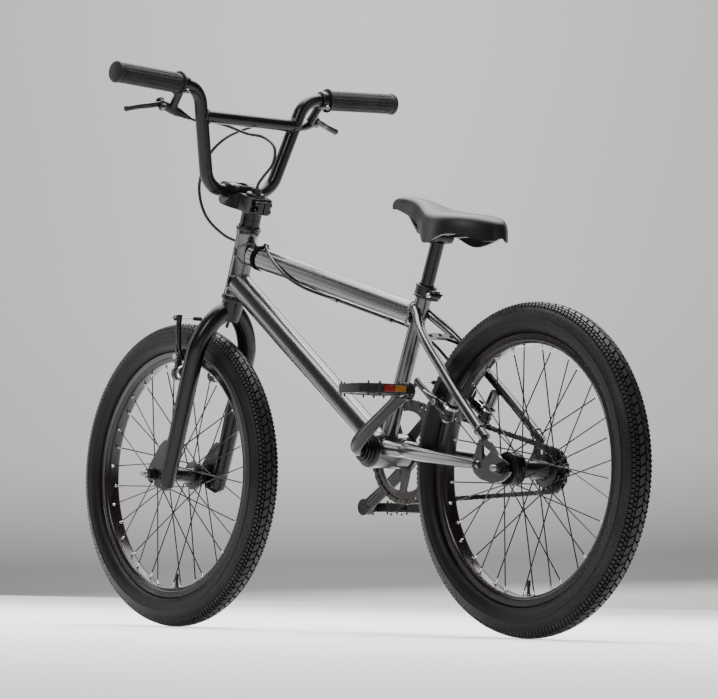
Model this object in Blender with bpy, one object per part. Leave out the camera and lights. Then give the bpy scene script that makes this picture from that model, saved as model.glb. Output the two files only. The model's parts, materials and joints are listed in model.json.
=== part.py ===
"""BMX bike: welded frame, unicrown fork, one-piece crank, two V-brakes.

Lengths in millimetres here, metres in the scene. +X is forward, +Y is the rider's left, +Z is up,
and the origin is on the ground halfway between the axles.
"""

import math

import bmesh
import bpy
from mathutils import Matrix, Vector

MM = 0.001
GAP = 0.3
FLAT_ANGLE = math.radians(0.05)

# ---- driving sizes -------------------------------------------------------------------------
WHEELBASE = 905.0
TYRE_R = 258.0
RIM_R = 209.5
RIM_INNER_R = 192.5
RIM_HALF = 15.0
SPOKES_PER_SIDE = 18
SPOKE_CROSSES = 3
SPOKE_R = 1.3
WHEEL_SEGMENTS = 32

REAR_AXLE = Vector((-WHEELBASE / 2, 0, TYRE_R))
FRONT_AXLE = Vector((WHEELBASE / 2, 0, TYRE_R))
AXLE_HALF = 80.0
AXLE_R = 5.0
NUT_BORE_R = 6.2

HEAD_POINT = Vector((291.5, 0, 612.0))
HEAD_UP = Vector((-0.32, 0, 1.0)).normalized()
HEAD_FORWARD = Vector((HEAD_UP.z, 0, -HEAD_UP.x))
HEAD_LOW = -57.0
HEAD_TOP = 56.0
HEAD_R = 18.0
STEERER_R = 14.3
STEERER_BORE_R = 10.0
SPACER_LOW = 66.5
STEM_LOW = 88.0
STEM_PARTING = 111.0
STEM_TOP = 116.0
STEM_HALF_WIDTH = 27.0
BAR_FORWARD = 49.3
BAR_R = 11.1

BB_CENTRE = Vector((-101.5, 0, 292.0))
BB_SHELL_R = 28.5
BB_SHELL_BORE_R = 25.8
BB_HALF = 34.0
SEAT_BASE = Vector((-100.0, 0, 292.0))
SEAT_UP = Vector((-0.3678, 0, 1.0)).normalized()
SEAT_TUBE_R = 12.9
SEAT_TUBE_TOP = 273.0
SEAT_POST_R = 11.1
TOP_TUBE_R = 19.0
DOWN_TUBE_R = 20.0
STAY_R = 8.0

CHAIN_Y = -43.0
CHAIN_PITCH = 12.7
RING_TEETH = 40
COG_TEETH = 16
CRANK_LENGTH = 170.0
CRANK_ANGLE = math.radians(31.0)
SPINDLE_R = 11.8
ARM_Y = 80.0
PEDAL_INNER = 95.0
PEDAL_OUTER = 194.0
PEDAL_HALF_X = 48.0
PEDAL_HALF_Z = 8.5

MATERIALS = {
    "frame_paint": ((0.27, 0.27, 0.29), 0.85, 0.28),
    "black_paint": ((0.02, 0.019, 0.019), 0.1, 0.35),
    "black_plastic": ((0.03, 0.03, 0.032), 0.0, 0.5),
    "grip_rubber": ((0.025, 0.024, 0.025), 0.0, 0.8),
    "tyre_rubber": ((0.03, 0.03, 0.033), 0.0, 0.75),
    "tube_rubber": ((0.02, 0.02, 0.02), 0.0, 0.7),
    "steel": ((0.45, 0.44, 0.43), 1.0, 0.3),
    "black_steel": ((0.04, 0.037, 0.036), 0.8, 0.4),
    "chain_steel": ((0.1, 0.075, 0.06), 0.9, 0.42),
    "cable_jacket": ((0.015, 0.015, 0.016), 0.0, 0.4),
    "saddle_cover": ((0.05, 0.05, 0.06), 0.0, 0.35),
}


# ---- helpers -------------------------------------------------------------------------------
def clear_scene():
    for obj in list(bpy.data.objects):
        bpy.data.objects.remove(obj)


def material(name):
    found = bpy.data.materials.get(name)
    if found:
        return found
    colour, metallic, roughness = MATERIALS[name]
    made = bpy.data.materials.new(name)
    made.use_nodes = True
    shader = made.node_tree.nodes["Principled BSDF"]
    shader.inputs["Base Color"].default_value = (*colour, 1.0)
    shader.inputs["Metallic"].default_value = metallic
    shader.inputs["Roughness"].default_value = roughness
    return made


def outward(bm):
    bmesh.ops.recalc_face_normals(bm, faces=bm.faces)
    if bm.calc_volume(signed=True) < 0:
        bmesh.ops.reverse_faces(bm, faces=bm.faces)


def solid(points, faces):
    """A closed mesh from points in millimetres."""
    bm = bmesh.new()
    verts = [bm.verts.new(Vector(point) * MM) for point in points]
    for face in faces:
        bm.faces.new([verts[index] for index in face])
    outward(bm)
    return bm


def joined(*parts):
    """The parts in one mesh, without cutting them: for cutters and for parts that don't touch."""
    whole = bmesh.new()
    for part in parts:
        mesh = bpy.data.meshes.new("joining")
        part.to_mesh(mesh)
        whole.from_mesh(mesh)
        bpy.data.meshes.remove(mesh)
        part.free()
    return whole


def boolean(body, other, operation):
    """body with other cut from it, or added to it, as one clean mesh."""
    objects = []
    for bm in (body, other):
        mesh = bpy.data.meshes.new("operand")
        bm.to_mesh(mesh)
        bm.free()
        obj = bpy.data.objects.new("operand", mesh)
        bpy.context.scene.collection.objects.link(obj)
        objects.append(obj)
    modifier = objects[0].modifiers.new("cut", "BOOLEAN")
    modifier.object = objects[1]
    modifier.operation = operation
    modifier.solver = "EXACT"
    bpy.context.view_layer.update()
    evaluated = objects[0].evaluated_get(bpy.context.evaluated_depsgraph_get())
    result = bmesh.new()
    result.from_mesh(evaluated.to_mesh())
    for obj in objects:
        mesh = obj.data
        bpy.data.objects.remove(obj)
        bpy.data.meshes.remove(mesh)
    bmesh.ops.remove_doubles(result, verts=result.verts, dist=0.001 * MM)
    return result


def add(body, *others):
    for other in others:
        body = boolean(body, other, "UNION")
    return body


def cut(body, *others):
    for other in others:
        body = boolean(body, other, "DIFFERENCE")
    return body


def frame_of(direction, side=Vector((0, 1, 0))):
    """Three axes: along direction, then two across it, the first as near to side as it can be."""
    along = Vector(direction).normalized()
    first = side - along * side.dot(along)
    if first.length < 1e-6:
        first = Vector((1, 0, 0)) - along * along.x
    first.normalize()
    return along, first, along.cross(first)


def lathe(profile, centre, direction, segments=20, phase=0.0):
    """A closed (along, radius) outline turned about an axis. A radius of 0 is a point on the axis."""
    along, first, second = frame_of(direction)
    points, rows = [], []
    for distance, radius in profile:
        middle = Vector(centre) + along * distance
        if radius < 1e-6:
            rows.append([len(points)] * segments)
            points.append(middle)
            continue
        rows.append(list(range(len(points), len(points) + segments)))
        for step in range(segments):
            angle = phase + math.tau * step / segments
            points.append(middle + (first * math.cos(angle) + second * math.sin(angle)) * radius)
    faces = []
    for row, after in zip(rows, rows[1:] + rows[:1]):
        for step in range(segments):
            turn = (step + 1) % segments
            corners = [row[step], row[turn], after[turn], after[step]]
            face = list(dict.fromkeys(corners))
            if len(face) > 2:
                faces.append(face)
    return solid(points, faces)


def rod(start, end, radius, sides=16, end_radius=None):
    start, end = Vector(start), Vector(end)
    length = (end - start).length
    last = radius if end_radius is None else end_radius
    return lathe([(0, 0), (0, radius), (length, last), (length, 0)], start, end - start, sides)


def pipe(start, end, radius, bore, sides=20):
    start, end = Vector(start), Vector(end)
    length = (end - start).length
    return lathe([(0, bore), (0, radius), (length, radius), (length, bore)], start, end - start, sides)


def tangents(points):
    before, after = [points[0], *points[:-1]], [*points[1:], points[-1]]
    return [(last - first).normalized() for first, last in zip(before, after)]


def sweep(points, radii, sides=12, side=Vector((0, 1, 0)), squash=None):
    """A bar along the points. squash gives the second radius at each point, for an oval section."""
    points = [Vector(point) for point in points]
    if isinstance(radii, (int, float)):
        radii = [radii] * len(points)
    squash = squash or radii
    verts = []
    reference = side
    for point, direction, wide, tall in zip(points, tangents(points), radii, squash):
        _, first, second = frame_of(direction, reference)
        reference = first
        for step in range(sides):
            angle = math.tau * step / sides
            verts.append(point + first * math.cos(angle) * wide + second * math.sin(angle) * tall)
    faces = [list(range(sides)), list(range(len(verts) - sides, len(verts)))]
    for ring in range(len(points) - 1):
        for step in range(sides):
            turn = (step + 1) % sides
            low, high = ring * sides, (ring + 1) * sides
            faces.append([low + step, low + turn, high + turn, high + step])
    return solid(verts, faces)


def curved(points, steps=5):
    """A smooth path through the points."""
    points = [Vector(point) for point in points]
    ends = [points[0] * 2 - points[1], *points, points[-1] * 2 - points[-2]]
    path = []
    for a, b, c, d in zip(ends, ends[1:], ends[2:], ends[3:]):
        for step in range(steps):
            t = step / steps
            path.append(0.5 * (2 * b + (c - a) * t + (2 * a - 5 * b + 4 * c - d) * t**2
                               + (3 * b - a - 3 * c + d) * t**3))
    return [*path, points[-1]]


def filleted(points, radius, steps=5):
    """The polyline with each corner rounded to a radius."""
    points = [Vector(point) for point in points]
    path = [points[0]]
    for before, corner, after in zip(points, points[1:], points[2:]):
        back, on = (before - corner).normalized(), (after - corner).normalized()
        half = back.angle(on) / 2
        reach = radius / math.tan(half)
        middle = corner + (back + on).normalized() * radius / math.sin(half)
        start, end = corner + back * reach - middle, corner + on * reach - middle
        turn = start.angle(end)
        for step in range(steps + 1):
            t = step / steps
            weights = math.sin((1 - t) * turn) / math.sin(turn), math.sin(t * turn) / math.sin(turn)
            path.append(middle + start * weights[0] + end * weights[1])
    return [*path, points[-1]]


def plate(outline, low, high, place):
    """A flat outline given thickness. place turns (u, v, w) into a point, with w from low to high."""
    count = len(outline)
    verts = [place(u, v, w) for w in (low, high) for u, v in outline]
    faces = [list(range(count)), list(range(count, 2 * count))]
    faces += [[i, (i + 1) % count, count + (i + 1) % count, count + i] for i in range(count)]
    return solid(verts, faces)


def ring_plate(outer, inner, low, high, place):
    """A flat ring between two outlines with as many points each, given thickness."""
    count = len(outer)
    verts = [place(u, v, w) for w in (low, high) for line in (outer, inner) for u, v in line]
    faces = []
    for i in range(count):
        j = (i + 1) % count
        faces.append([i, j, count + j, count + i])
        faces.append([2 * count + i, 3 * count + i, 3 * count + j, 2 * count + j])
        faces.append([i, 2 * count + i, 2 * count + j, j])
        faces.append([count + i, count + j, 3 * count + j, 3 * count + i])
    return solid(verts, faces)


def box(centre, size, turn=None):
    matrix = turn or Matrix.Identity(3)
    half = Vector(size) / 2
    corners = [(x, y, z) for x in (-1, 1) for y in (-1, 1) for z in (-1, 1)]
    verts = [Vector(centre) + matrix @ Vector((x * half.x, y * half.y, z * half.z)) for x, y, z in corners]
    faces = [(0, 1, 3, 2), (4, 6, 7, 5), (0, 4, 5, 1), (2, 3, 7, 6), (0, 2, 6, 4), (1, 5, 7, 3)]
    return solid(verts, faces)


def mirrored(point):
    return Vector((point[0], -point[1], point[2]))


def sided(side, points):
    """The points for the left (side 1) or, mirrored, for the right (side -1)."""
    return [Vector((point[0], point[1] * side, point[2])) for point in points]


def head(along, forward=0.0, left=0.0):
    """A point given along the steering axis, forward of it and to its left."""
    return HEAD_POINT + HEAD_UP * along + HEAD_FORWARD * forward + Vector((0, left, 0))


def seat(along, forward=0.0, left=0.0):
    across = Vector((SEAT_UP.z, 0, -SEAT_UP.x))
    return SEAT_BASE + SEAT_UP * along + across * forward + Vector((0, left, 0))


def body(name, origin, parent=None):
    """An empty on a joint's axis, which carries the pieces that turn together."""
    empty = bpy.data.objects.new(name, None)
    empty.empty_display_size = 0.02
    bpy.context.scene.collection.objects.link(empty)
    empty.location = Vector(origin) * MM
    if parent:
        empty.parent = parent
        bpy.context.view_layer.update()
        empty.matrix_parent_inverse = parent.matrix_world.inverted()
    bpy.context.view_layer.update()
    return empty


def piece(name, bm, material_name, parent):
    """One named part, as an object with its own material, on the body that carries it."""
    flat_edges = [edge for edge in bm.edges if edge.calc_face_angle(9.0) < FLAT_ANGLE]
    bmesh.ops.dissolve_edges(bm, edges=flat_edges, use_verts=True)
    outward(bm)
    mesh = bpy.data.meshes.new(name)
    bm.to_mesh(mesh)
    bm.free()
    obj = bpy.data.objects.new(name, mesh)
    mesh.materials.append(material(material_name))
    bpy.context.scene.collection.objects.link(obj)
    origin = parent.matrix_world.translation.copy()
    mesh.transform(Matrix.Translation(-origin))
    obj.parent = parent
    return obj


# ---- frame ---------------------------------------------------------------------------------
def tube_between(start, end, radius, bore, *others):
    """A hollow tube mitred against the tubes it meets."""
    return cut(pipe(start, end, radius, bore, 20), *others)


def seat_cut():
    """The room that the seat tube takes from the tubes that meet it."""
    return rod(seat(-20), seat(SEAT_TUBE_TOP + 27), SEAT_TUBE_R + GAP, 20)


def head_cut():
    return rod(head(-90), head(90), HEAD_R + GAP, 24)


def shell_cut():
    return rod(BB_CENTRE - Vector((0, 60, 0)), BB_CENTRE + Vector((0, 60, 0)), BB_SHELL_R + GAP, 24)


def build_frame(frame):
    head_axis = (head(HEAD_LOW), head(HEAD_TOP))
    piece("head_tube", pipe(*head_axis, HEAD_R, 16.2, 24), "frame_paint", frame)

    top_front, top_rear = Vector((262.0, 0, 623.8)), Vector((-176.0, 0, 505.2))
    down_front, down_rear = Vector((300.0, 0, 581.0)), Vector((-101.5, 0, 292.0))
    top_axis = (top_rear - top_front).normalized()
    top_cut = rod(top_front - top_axis * 60, top_rear, TOP_TUBE_R + GAP, 24)

    top = tube_between(top_front - top_axis * 20, top_rear, TOP_TUBE_R, TOP_TUBE_R - 1.6,
                       head_cut(), seat_cut())
    piece("top_tube", largest(top), "frame_paint", frame)
    lower_bearing_cut = rod(head(-80), head(HEAD_LOW), 21.2, 24)
    down = tube_between(down_front, down_rear, DOWN_TUBE_R, DOWN_TUBE_R - 1.8,
                        head_cut(), shell_cut(), seat_cut(), top_cut, lower_bearing_cut)
    piece("down_tube", largest(down), "frame_paint", frame)
    seat_tube = tube_between(seat(0), seat(SEAT_TUBE_TOP), SEAT_TUBE_R, SEAT_POST_R + GAP, shell_cut())
    piece("seat_tube", largest(seat_tube), "frame_paint", frame)

    shell = lathe([(-BB_HALF, BB_SHELL_BORE_R), (-BB_HALF, BB_SHELL_R), (BB_HALF, BB_SHELL_R),
                   (BB_HALF, BB_SHELL_BORE_R)], BB_CENTRE, (0, 1, 0), 24)
    piece("bottom_bracket_shell", shell, "frame_paint", frame)
    for side, name in ((1, "left"), (-1, "right")):
        top_end = rod(top_rear - top_axis * 40, top_rear + top_axis * GAP, TOP_TUBE_R + GAP, 20)
        build_stays(frame, side, name, top_end)


def largest(bm):
    """Only the biggest shell, which drops the slivers that a mitre leaves."""
    remaining, shells = set(bm.verts), []
    while remaining:
        stack, shell = [remaining.pop()], set()
        while stack:
            vert = stack.pop()
            shell.add(vert)
            for edge in vert.link_edges:
                other = edge.other_vert(vert)
                if other in remaining:
                    remaining.discard(other)
                    stack.append(other)
        shells.append(shell)
    shells.sort(key=lambda shell: -shell_size(shell))
    for shell in shells[1:]:
        bmesh.ops.delete(bm, geom=list(shell), context="VERTS")
    return bm


def shell_size(shell):
    xs, ys, zs = zip(*(vert.co for vert in shell))
    return (max(xs) - min(xs)) + (max(ys) - min(ys)) + (max(zs) - min(zs))


REAR_PIVOT = Vector((-301.5, 38.0, 348.5))
REAR_POST = Vector((0.538, 0, -0.843)).normalized()
FRONT_PIVOT = Vector((404.5, 38.0, 428.0))
FRONT_POST = Vector((0.996, 0, -0.09)).normalized()
POST_R = 4.0
POST_BORE_R = 4.25
PAD_GAP = 1.2
ARM_WIDTH = 26.0


def post(pivot, direction, side, back):
    """A brake post from the leg or stay to past the arm."""
    centre = Vector((pivot.x, pivot.y * side, pivot.z))
    base_end = centre - direction * (ARM_WIDTH / 2 + 1.0)
    pin_end = centre + direction * (ARM_WIDTH / 2 + 1.0)
    boss = rod(centre - direction * back, base_end, 8.0, 12)
    return add(boss, rod(base_end - direction * 2, pin_end, POST_R, 12))


def build_stays(frame, side, name, top_end):
    dropout = dropout_plate(side)
    lower = sided(side, [(-118, 18, 296), (-140, 23, 294), (-162, 25.5, 291), (-183, 28.2, 288.7),
                         (-212, 38.5, 285.5), (-252, 45, 281), (-322, 51.5, 273), (-388, 56.5, 265.5)])
    chainstay = sweep(lower, [13, 12.5, 11.6, 11.4, 10.8, 10.5, 9.5, 7.5], 12)
    chainstay = cut(chainstay, shell_cut())
    middle = box((-180, -200 * side + 0.2 * side, 290), (400, 400, 60))
    chainstay = cut(chainstay, middle)
    chainstay = add(largest(chainstay), dropout)
    slot = cut_slot(side)
    piece(f"chainstay_{name}", largest(cut(chainstay, slot)), "frame_paint", frame)

    upper = sided(side, [(-181, 11, 514), (-196, 17.5, 500.5), (-222, 32, 477), (-252, 40.5, 450),
                         (-288, 45.5, 417.5), (-326, 51, 383), (-353, 54.5, 358.8), (-398, 57.5, 318),
                         (-412, 57.5, 305.4)])
    stay = sweep(upper, STAY_R, 10)
    stay = cut(stay, box((-180, -200 * side + 0.2 * side, 480), (400, 400, 300)))
    stay = cut(stay, seat_cut(), top_end, dropout_plate(side, 1.015, GAP))
    stay = add(largest(stay), post(REAR_PIVOT, REAR_POST, side, 44.0))
    if side == 1:
        bridge = plate([(-232, 466), (-222, 470), (-214, 462), (-222, 438), (-232, 436)], -36.5, 36.5,
                       lambda u, v, w: (u, w, v))
        window = box((-223, 0, 455), (60, 40, 14))
        stay = add(stay, cut(bridge, window))
        stay = cut(largest(stay), clear_of_right_stay(upper))
    stay = cut(stay, rod((-452.5, 50 * side, 258), (-452.5, 70 * side, 258), 52.0, 32))
    piece(f"seatstay_{name}", largest(stay), "frame_paint", frame)


def clear_of_right_stay(upper):
    return sweep([mirrored(point) for point in upper], STAY_R + 2 * GAP, 10)


def dropout_plate(side, scale=1.0, spare=0.0):
    outline = [(-388, 273), (-398, 300), (-410, 307), (-424, 300), (-436, 287), (-448, 275), (-466, 268),
               (-474, 258), (-470, 246), (-456, 238), (-432, 236), (-404, 242), (-388, 254)]
    outline = [(-425 + (x + 425) * scale, 270 + (z - 270) * scale) for x, z in outline]
    low, high = (55.3, 60.3) if side == 1 else (-60.3, -55.3)
    return plate(outline, low - spare, high + spare, lambda u, v, w: (u, w, v))


def cut_slot(side):
    round_end = rod((-452.5, 50 * side, 258), (-452.5, 66 * side, 258), AXLE_R + GAP, 16)
    run = box((-467, 58 * side, 258), (29, 12, 2 * (AXLE_R + GAP)))
    return add(round_end, run)




# ---- fork, headset, stem and bars ----------------------------------------------------------
def build_front(steering, frame):
    upper = lathe([(44, 14.8), (44, 15.9), (56.3, 15.9), (56.3, 20.6), (61, 20.6), (62, 18.8),
                   (66.2, 18.0), (66.2, 14.8)], HEAD_POINT, HEAD_UP, 16)
    lower = lathe([(-44, 14.8), (-66.2, 14.8), (-66.2, 18.6), (-62, 20.6), (-57.3, 20.6),
                   (-57.3, 15.9), (-44, 15.9)], HEAD_POINT, HEAD_UP, 16)
    piece("headset_bearing_upper", upper, "black_steel", frame)
    piece("headset_bearing_lower", lower, "black_steel", frame)

    fork = rod(head(-104), head(STEM_TOP - 3.0), STEERER_R, 16)
    fork = add(fork, lathe([(-66.6, 0), (-66.6, 18.4), (-84, 18.4), (-96, 16), (-96, 0)],
                           HEAD_POINT, HEAD_UP, 16))
    for side in (1, -1):
        leg = [head(along, 3.0, left * side) for along, left in
               ((-82, 4), (-92, 19), (-107, 32.5), (-124, 43), (-142, 50), (-165, 53.5),
                (-250, 54), (-389, 54))]
        leg = sweep(leg, [14, 15.7, 15.8, 15.8, 15.8, 15.8, 15.2, 12.6], 10, side=HEAD_FORWARD)
        bore = rod(head(-170, 3.0, 54 * side), head(-400, 3.0, 54 * side), 12.8, 8, 10.0)
        fork = add(fork, cut(leg, bore))
        dropout = [(432, 306), (447, 288), (462, 271), (469, 258), (464, 247), (452.5, 242), (436, 236),
                   (416, 228), (404, 236), (408, 262), (404, 300), (414, 316)]
        low, high = (50.8, 56.8) if side == 1 else (-56.8, -50.8)
        fork = add(fork, plate(dropout, low, high, lambda u, v, w: (u, w, v)))
        fork = add(fork, post(FRONT_PIVOT, FRONT_POST, side, 50.0))
        fork = cut(fork, box((452.5, 54 * side, 236), (2 * (AXLE_R + GAP), 10, 44)),
                   rod((452.5, 45 * side, 258), (452.5, 62 * side, 258), AXLE_R + GAP, 16))
    fork = cut(fork, rod(head(-130), head(130), STEERER_BORE_R, 16))
    piece("fork", largest(fork), "black_paint", steering)

    piece("headset_spacer", lathe([(SPACER_LOW, STEERER_R + GAP), (SPACER_LOW, 17), (STEM_LOW - GAP, 17),
                                   (STEM_LOW - GAP, STEERER_R + GAP)], HEAD_POINT, HEAD_UP, 16),
          "black_paint", steering)
    build_stem(steering)
    build_bar(steering)


def in_head(u, v, w):
    return head(v, u, w)


def bar_point(left, up, back=0.0):
    """A point on the handlebar's plane, up from its clamp."""
    lean = Vector((-0.2204, 0, 0.9754))
    return head(STEM_PARTING, BAR_FORWARD) + lean * up + Vector((-back, left, 0))


def bar_seat():
    """The handlebar's room in the stem and its cap."""
    return rod(head(STEM_PARTING, BAR_FORWARD, -60), head(STEM_PARTING, BAR_FORWARD, 60), BAR_R + GAP, 20)


def build_stem(steering):
    half = STEM_HALF_WIDTH
    side_view = [(-21, 90), (-16, 88), (16, 88), (56, 87), (64, 92), (65, STEM_PARTING - 0.5),
                 (24, STEM_PARTING - 0.5), (20, STEM_TOP), (-17, STEM_TOP), (-21, STEM_TOP - 4)]
    stem = plate(side_view, -half, half, in_head)
    for side in (1, -1):
        trim = [(-30, 27.5), (-30, 20), (-18, 21), (14, 21.5), (30, 27.5)]
        cutter = plate([(u, side * w) for u, w in trim], 80, 125, lambda u, v, w: head(w, u, v))
        stem = cut(stem, cutter)
    stem = add(stem, box(head(101, -24.5), (11, 24, 22), head_turn()))
    for along in (95.5, 107.5):
        stem = add(stem, rod(head(along, -25.5, -17), head(along, -25.5, 17), 5.0, 8))
    stem = add(stem, lathe([(STEM_TOP - 2, 0), (STEM_TOP - 2, 16.5), (STEM_TOP + 5, 15), (STEM_TOP + 7, 9.5),
                            (STEM_TOP + 14, 8.5), (STEM_TOP + 14, 0)], HEAD_POINT, HEAD_UP, 18))
    stem = cut(stem, rod(head(80), head(STEM_TOP - 2.5), STEERER_R + GAP, 16),
               box(head(101, -26), (12, 1.6, 40), head_turn()),
               bar_seat(),
               rod(head(110), head(140), 4.5, 12))
    piece("stem", largest(stem), "black_paint", steering)

    cap_view = [(28, 0.5), (71, 0.5), (71, 5), (63, 14), (54, 15.5), (44, 15.5), (35, 14), (28, 5)]
    cap = plate([(u, STEM_PARTING + v) for u, v in cap_view], -half, half, in_head)
    for left in (-17, 17):
        for forward in (BAR_FORWARD - 17, BAR_FORWARD + 17):
            low, high = head(STEM_PARTING + 3, forward, left), head(STEM_PARTING + 13, forward, left)
            cap = add(cap, rod(low, high, 4.8, 10))
    cap = cut(cap, bar_seat())
    piece("stem_cap", largest(cap), "black_paint", steering)


def head_turn():
    """The turn that lays a box along the steering axis."""
    return Matrix((HEAD_FORWARD, (0, 1, 0), HEAD_UP)).transposed()


BAR_FOOT = 64.8
RISER_SPREAD = 0.274
BAR_BEND_R = 40.0
CROSSBAR_UP = 121.0
GRIP_START = 154.8
GRIP_END = 293.7
BAR_END = 289.0


def grip_axis(side):
    start = bar_point(GRIP_START * side, 170.0)
    end = bar_point(GRIP_END * side, 175.6, 9.3)
    return start, (end - start).normalized()


def build_bar(steering):
    line = []
    for side in (-1, 1):
        start, along = grip_axis(side)
        knee = start - along * 43.5
        end = start + along * (BAR_END - GRIP_START)
        half = [end, knee, bar_point(BAR_FOOT * side, 0), bar_point(0, 0)]
        line.append(half if side == -1 else half[::-1][1:])
    path = filleted([*line[0][:3], *line[1]], BAR_BEND_R, 4)
    rise = BAR_FOOT + CROSSBAR_UP * RISER_SPREAD
    bar = sweep(path, BAR_R, 12, side=Vector((1, 0, 0)))
    bar = add(bar, rod(bar_point(-rise, CROSSBAR_UP), bar_point(rise, CROSSBAR_UP), 11.0, 12))
    inner = sweep([path[0] * 2 - path[1], *path[1:-1], path[-1] * 2 - path[-2]], BAR_R - 2.2, 8,
                  side=Vector((1, 0, 0)))
    piece("handlebar", largest(cut(bar, inner)), "black_paint", steering)

    for side, name in ((1, "left"), (-1, "right")):
        start, along = grip_axis(side)
        length = GRIP_END - GRIP_START
        profile = [(0.4, BAR_R + GAP), (0.4, 20.5), (4, 20.5), (6, 17), (length - 6, 16.6),
                   (length - 4, 18.2),
                   (length - 1, 18.2), (length + 1, 15), (length + 1, 0), (length - 2.5, 0),
                   (length - 2.5, BAR_R + GAP)]
        piece(f"grip_{name}", lathe(profile, start, along, 16), "grip_rubber", steering)
        build_lever(steering, side, name)


LEVER_PIVOT = Vector((305.5, 163.0, 867.0))
LEVER_KNEE = Vector((311.7, 182.1, 863.1))
LEVER_TIP = Vector((324.5, 222.0, 855.0))
CABLE_EXIT = Vector((296.0, 121.0, 850.0))


def lever_points(side):
    return [Vector((p.x, p.y * side, p.z)) for p in (LEVER_PIVOT, LEVER_KNEE, LEVER_TIP, CABLE_EXIT)]


def lever_axis(side):
    pivot, _, tip, _ = lever_points(side)
    pull = Vector((-0.81, 0, 0.59))
    return (tip - pivot).cross(pull).normalized()


def build_lever(steering, side, name):
    pivot, knee, tip, cable_end = lever_points(side)
    start, along = grip_axis(side)
    axis = lever_axis(side)
    clamp_low, clamp_high = start - along * 13.5, start - along * 1.0
    ring_centre = (clamp_low + clamp_high) / 2
    bracket = rod(clamp_low, clamp_high, 15.5, 14)
    towards = (pivot * 0.55 + cable_end * 0.45) - ring_centre
    bracket = add(bracket, sweep([ring_centre + towards * 0.12, ring_centre + towards * 0.6, ring_centre + towards],
                                 [6.5, 6.5, 7.0], 8))
    bracket = add(bracket, sweep([cable_end, cable_end + (pivot - cable_end) * 0.35, cable_end + (pivot - cable_end) * 0.8,
                                  pivot + (pivot - cable_end).normalized() * 5], [4.5, 7.5, 9.5, 8.0], 8))
    bracket = add(bracket, rod(pivot - axis * 9.5, pivot + axis * 9.5, 7.5, 12))
    reach = (tip - pivot).normalized()
    slot = box(pivot + reach * 14, (44, 9.6, 34), lever_turn(side))
    bracket = cut(bracket, rod(clamp_low - along * 2, clamp_high + along * 2, BAR_R + GAP, 14), slot,
                  rod(cable_end - (pivot - cable_end).normalized() * 3,
                      cable_end + (pivot - cable_end).normalized() * 12, 3.3, 10))
    lever_body = body(f"brake_lever_{name}_body", pivot, steering)
    pin = rod(pivot - axis * 9.0, pivot + axis * 9.0, 2.5, 14)
    bracket = add(largest(bracket), pin)
    piece(f"lever_bracket_{name}", largest(bracket), "black_paint", steering)

    blade = [pivot - reach, knee, knee * 0.6 + tip * 0.4 + Vector((2.5, 0, 0.5)), tip * 0.85 + knee * 0.15,
             tip]
    lever = sweep(curved(blade, 2), [4.2] * 8 + [4.6], 8, side=axis, squash=[6.0] * 3 + [6.5] * 5 + [5.0])
    lever = add(lever, rod(pivot - axis * 4.2, pivot + axis * 4.2, 7.0, 14))
    lever = cut(lever, rod(pivot - axis * 12, pivot + axis * 12, 2.65, 14))
    piece(f"brake_lever_{name}", largest(lever), "black_paint", lever_body)


def lever_turn(side):
    pivot, _, tip, _ = lever_points(side)
    first = (tip - pivot).normalized()
    second = lever_axis(side)
    return Matrix((first, second, first.cross(second))).transposed()


# ---- V-brakes ------------------------------------------------------------------------------
ARM_LENGTH = 100.0


def build_brake(parent, end, pivot_point, post_axis, lift, side, name):
    """One arm with its pad, turning on a post. lift is the way up the arm."""
    pivot = Vector((pivot_point.x, -pivot_point.y, pivot_point.z))
    across = Vector((0, -1, 0))
    barrel = lathe([(-ARM_WIDTH / 2, POST_BORE_R), (-ARM_WIDTH / 2, 11), (ARM_WIDTH / 2, 11),
                    (ARM_WIDTH / 2, POST_BORE_R)], pivot, post_axis, 12)
    heights = [7.7, 30, 55, 80, ARM_LENGTH]
    leans = [1.0, 1.5, 0.5, -1.5, -4.0]
    points = [pivot + lift * up + across * out + post_axis * 3.2 for up, out in zip(heights, leans)]
    arm = sweep(points, [4.6, 4.6, 4.4, 4.2, 4.4], 8, side=across, squash=[8.5, 8.0, 6.5, 5.5, 6.0])
    pad_centre = pivot + lift * 28.5
    holder = rod(pad_centre + across * 9, pad_centre - across * 6.5, 5.3, 8)
    pad_inner = -(RIM_HALF + PAD_GAP)
    along = pad_tangent(pivot, pad_centre)
    pad = plate([(-24, -4.5), (24, -4.5), (26, 0), (24, 4.5), (-24, 4.5), (-26, 0)], 0, 9,
                lambda u, v, w: Vector((pad_centre.x, pad_inner - w, pad_centre.z)) + along * u
                + along.cross(across) * v)
    stub = rod((pad_centre.x, pad_inner - 6, pad_centre.z), pad_centre, 4.0, 8)
    whole = add(barrel, arm, holder, stub, pad)
    reach = post_axis * (ARM_WIDTH / 2 + 5)
    whole = cut(whole, rod(pivot - reach, pivot + reach, POST_BORE_R, 12))
    top = pivot + lift * (ARM_LENGTH - 4) - across * 3.7 + post_axis * 3.0
    whole = largest(cut(whole, rod(top - across * 14, top + across * 14, 2.9, 8)))
    for vert in whole.verts:
        vert.co.y *= -side
    arm_body = body(f"{end}_brake_arm_{name}_body", (pivot.x, pivot_point.y * side, pivot.z), parent)
    piece(f"{end}_brake_arm_{name}", whole, "black_paint", arm_body)


def pad_tangent(pivot, pad_centre):
    axle = FRONT_AXLE if pivot.x > 0 else REAR_AXLE
    radial = Vector((pad_centre.x - axle.x, 0, pad_centre.z - axle.z)).normalized()
    return Vector((radial.z, 0, -radial.x))


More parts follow.
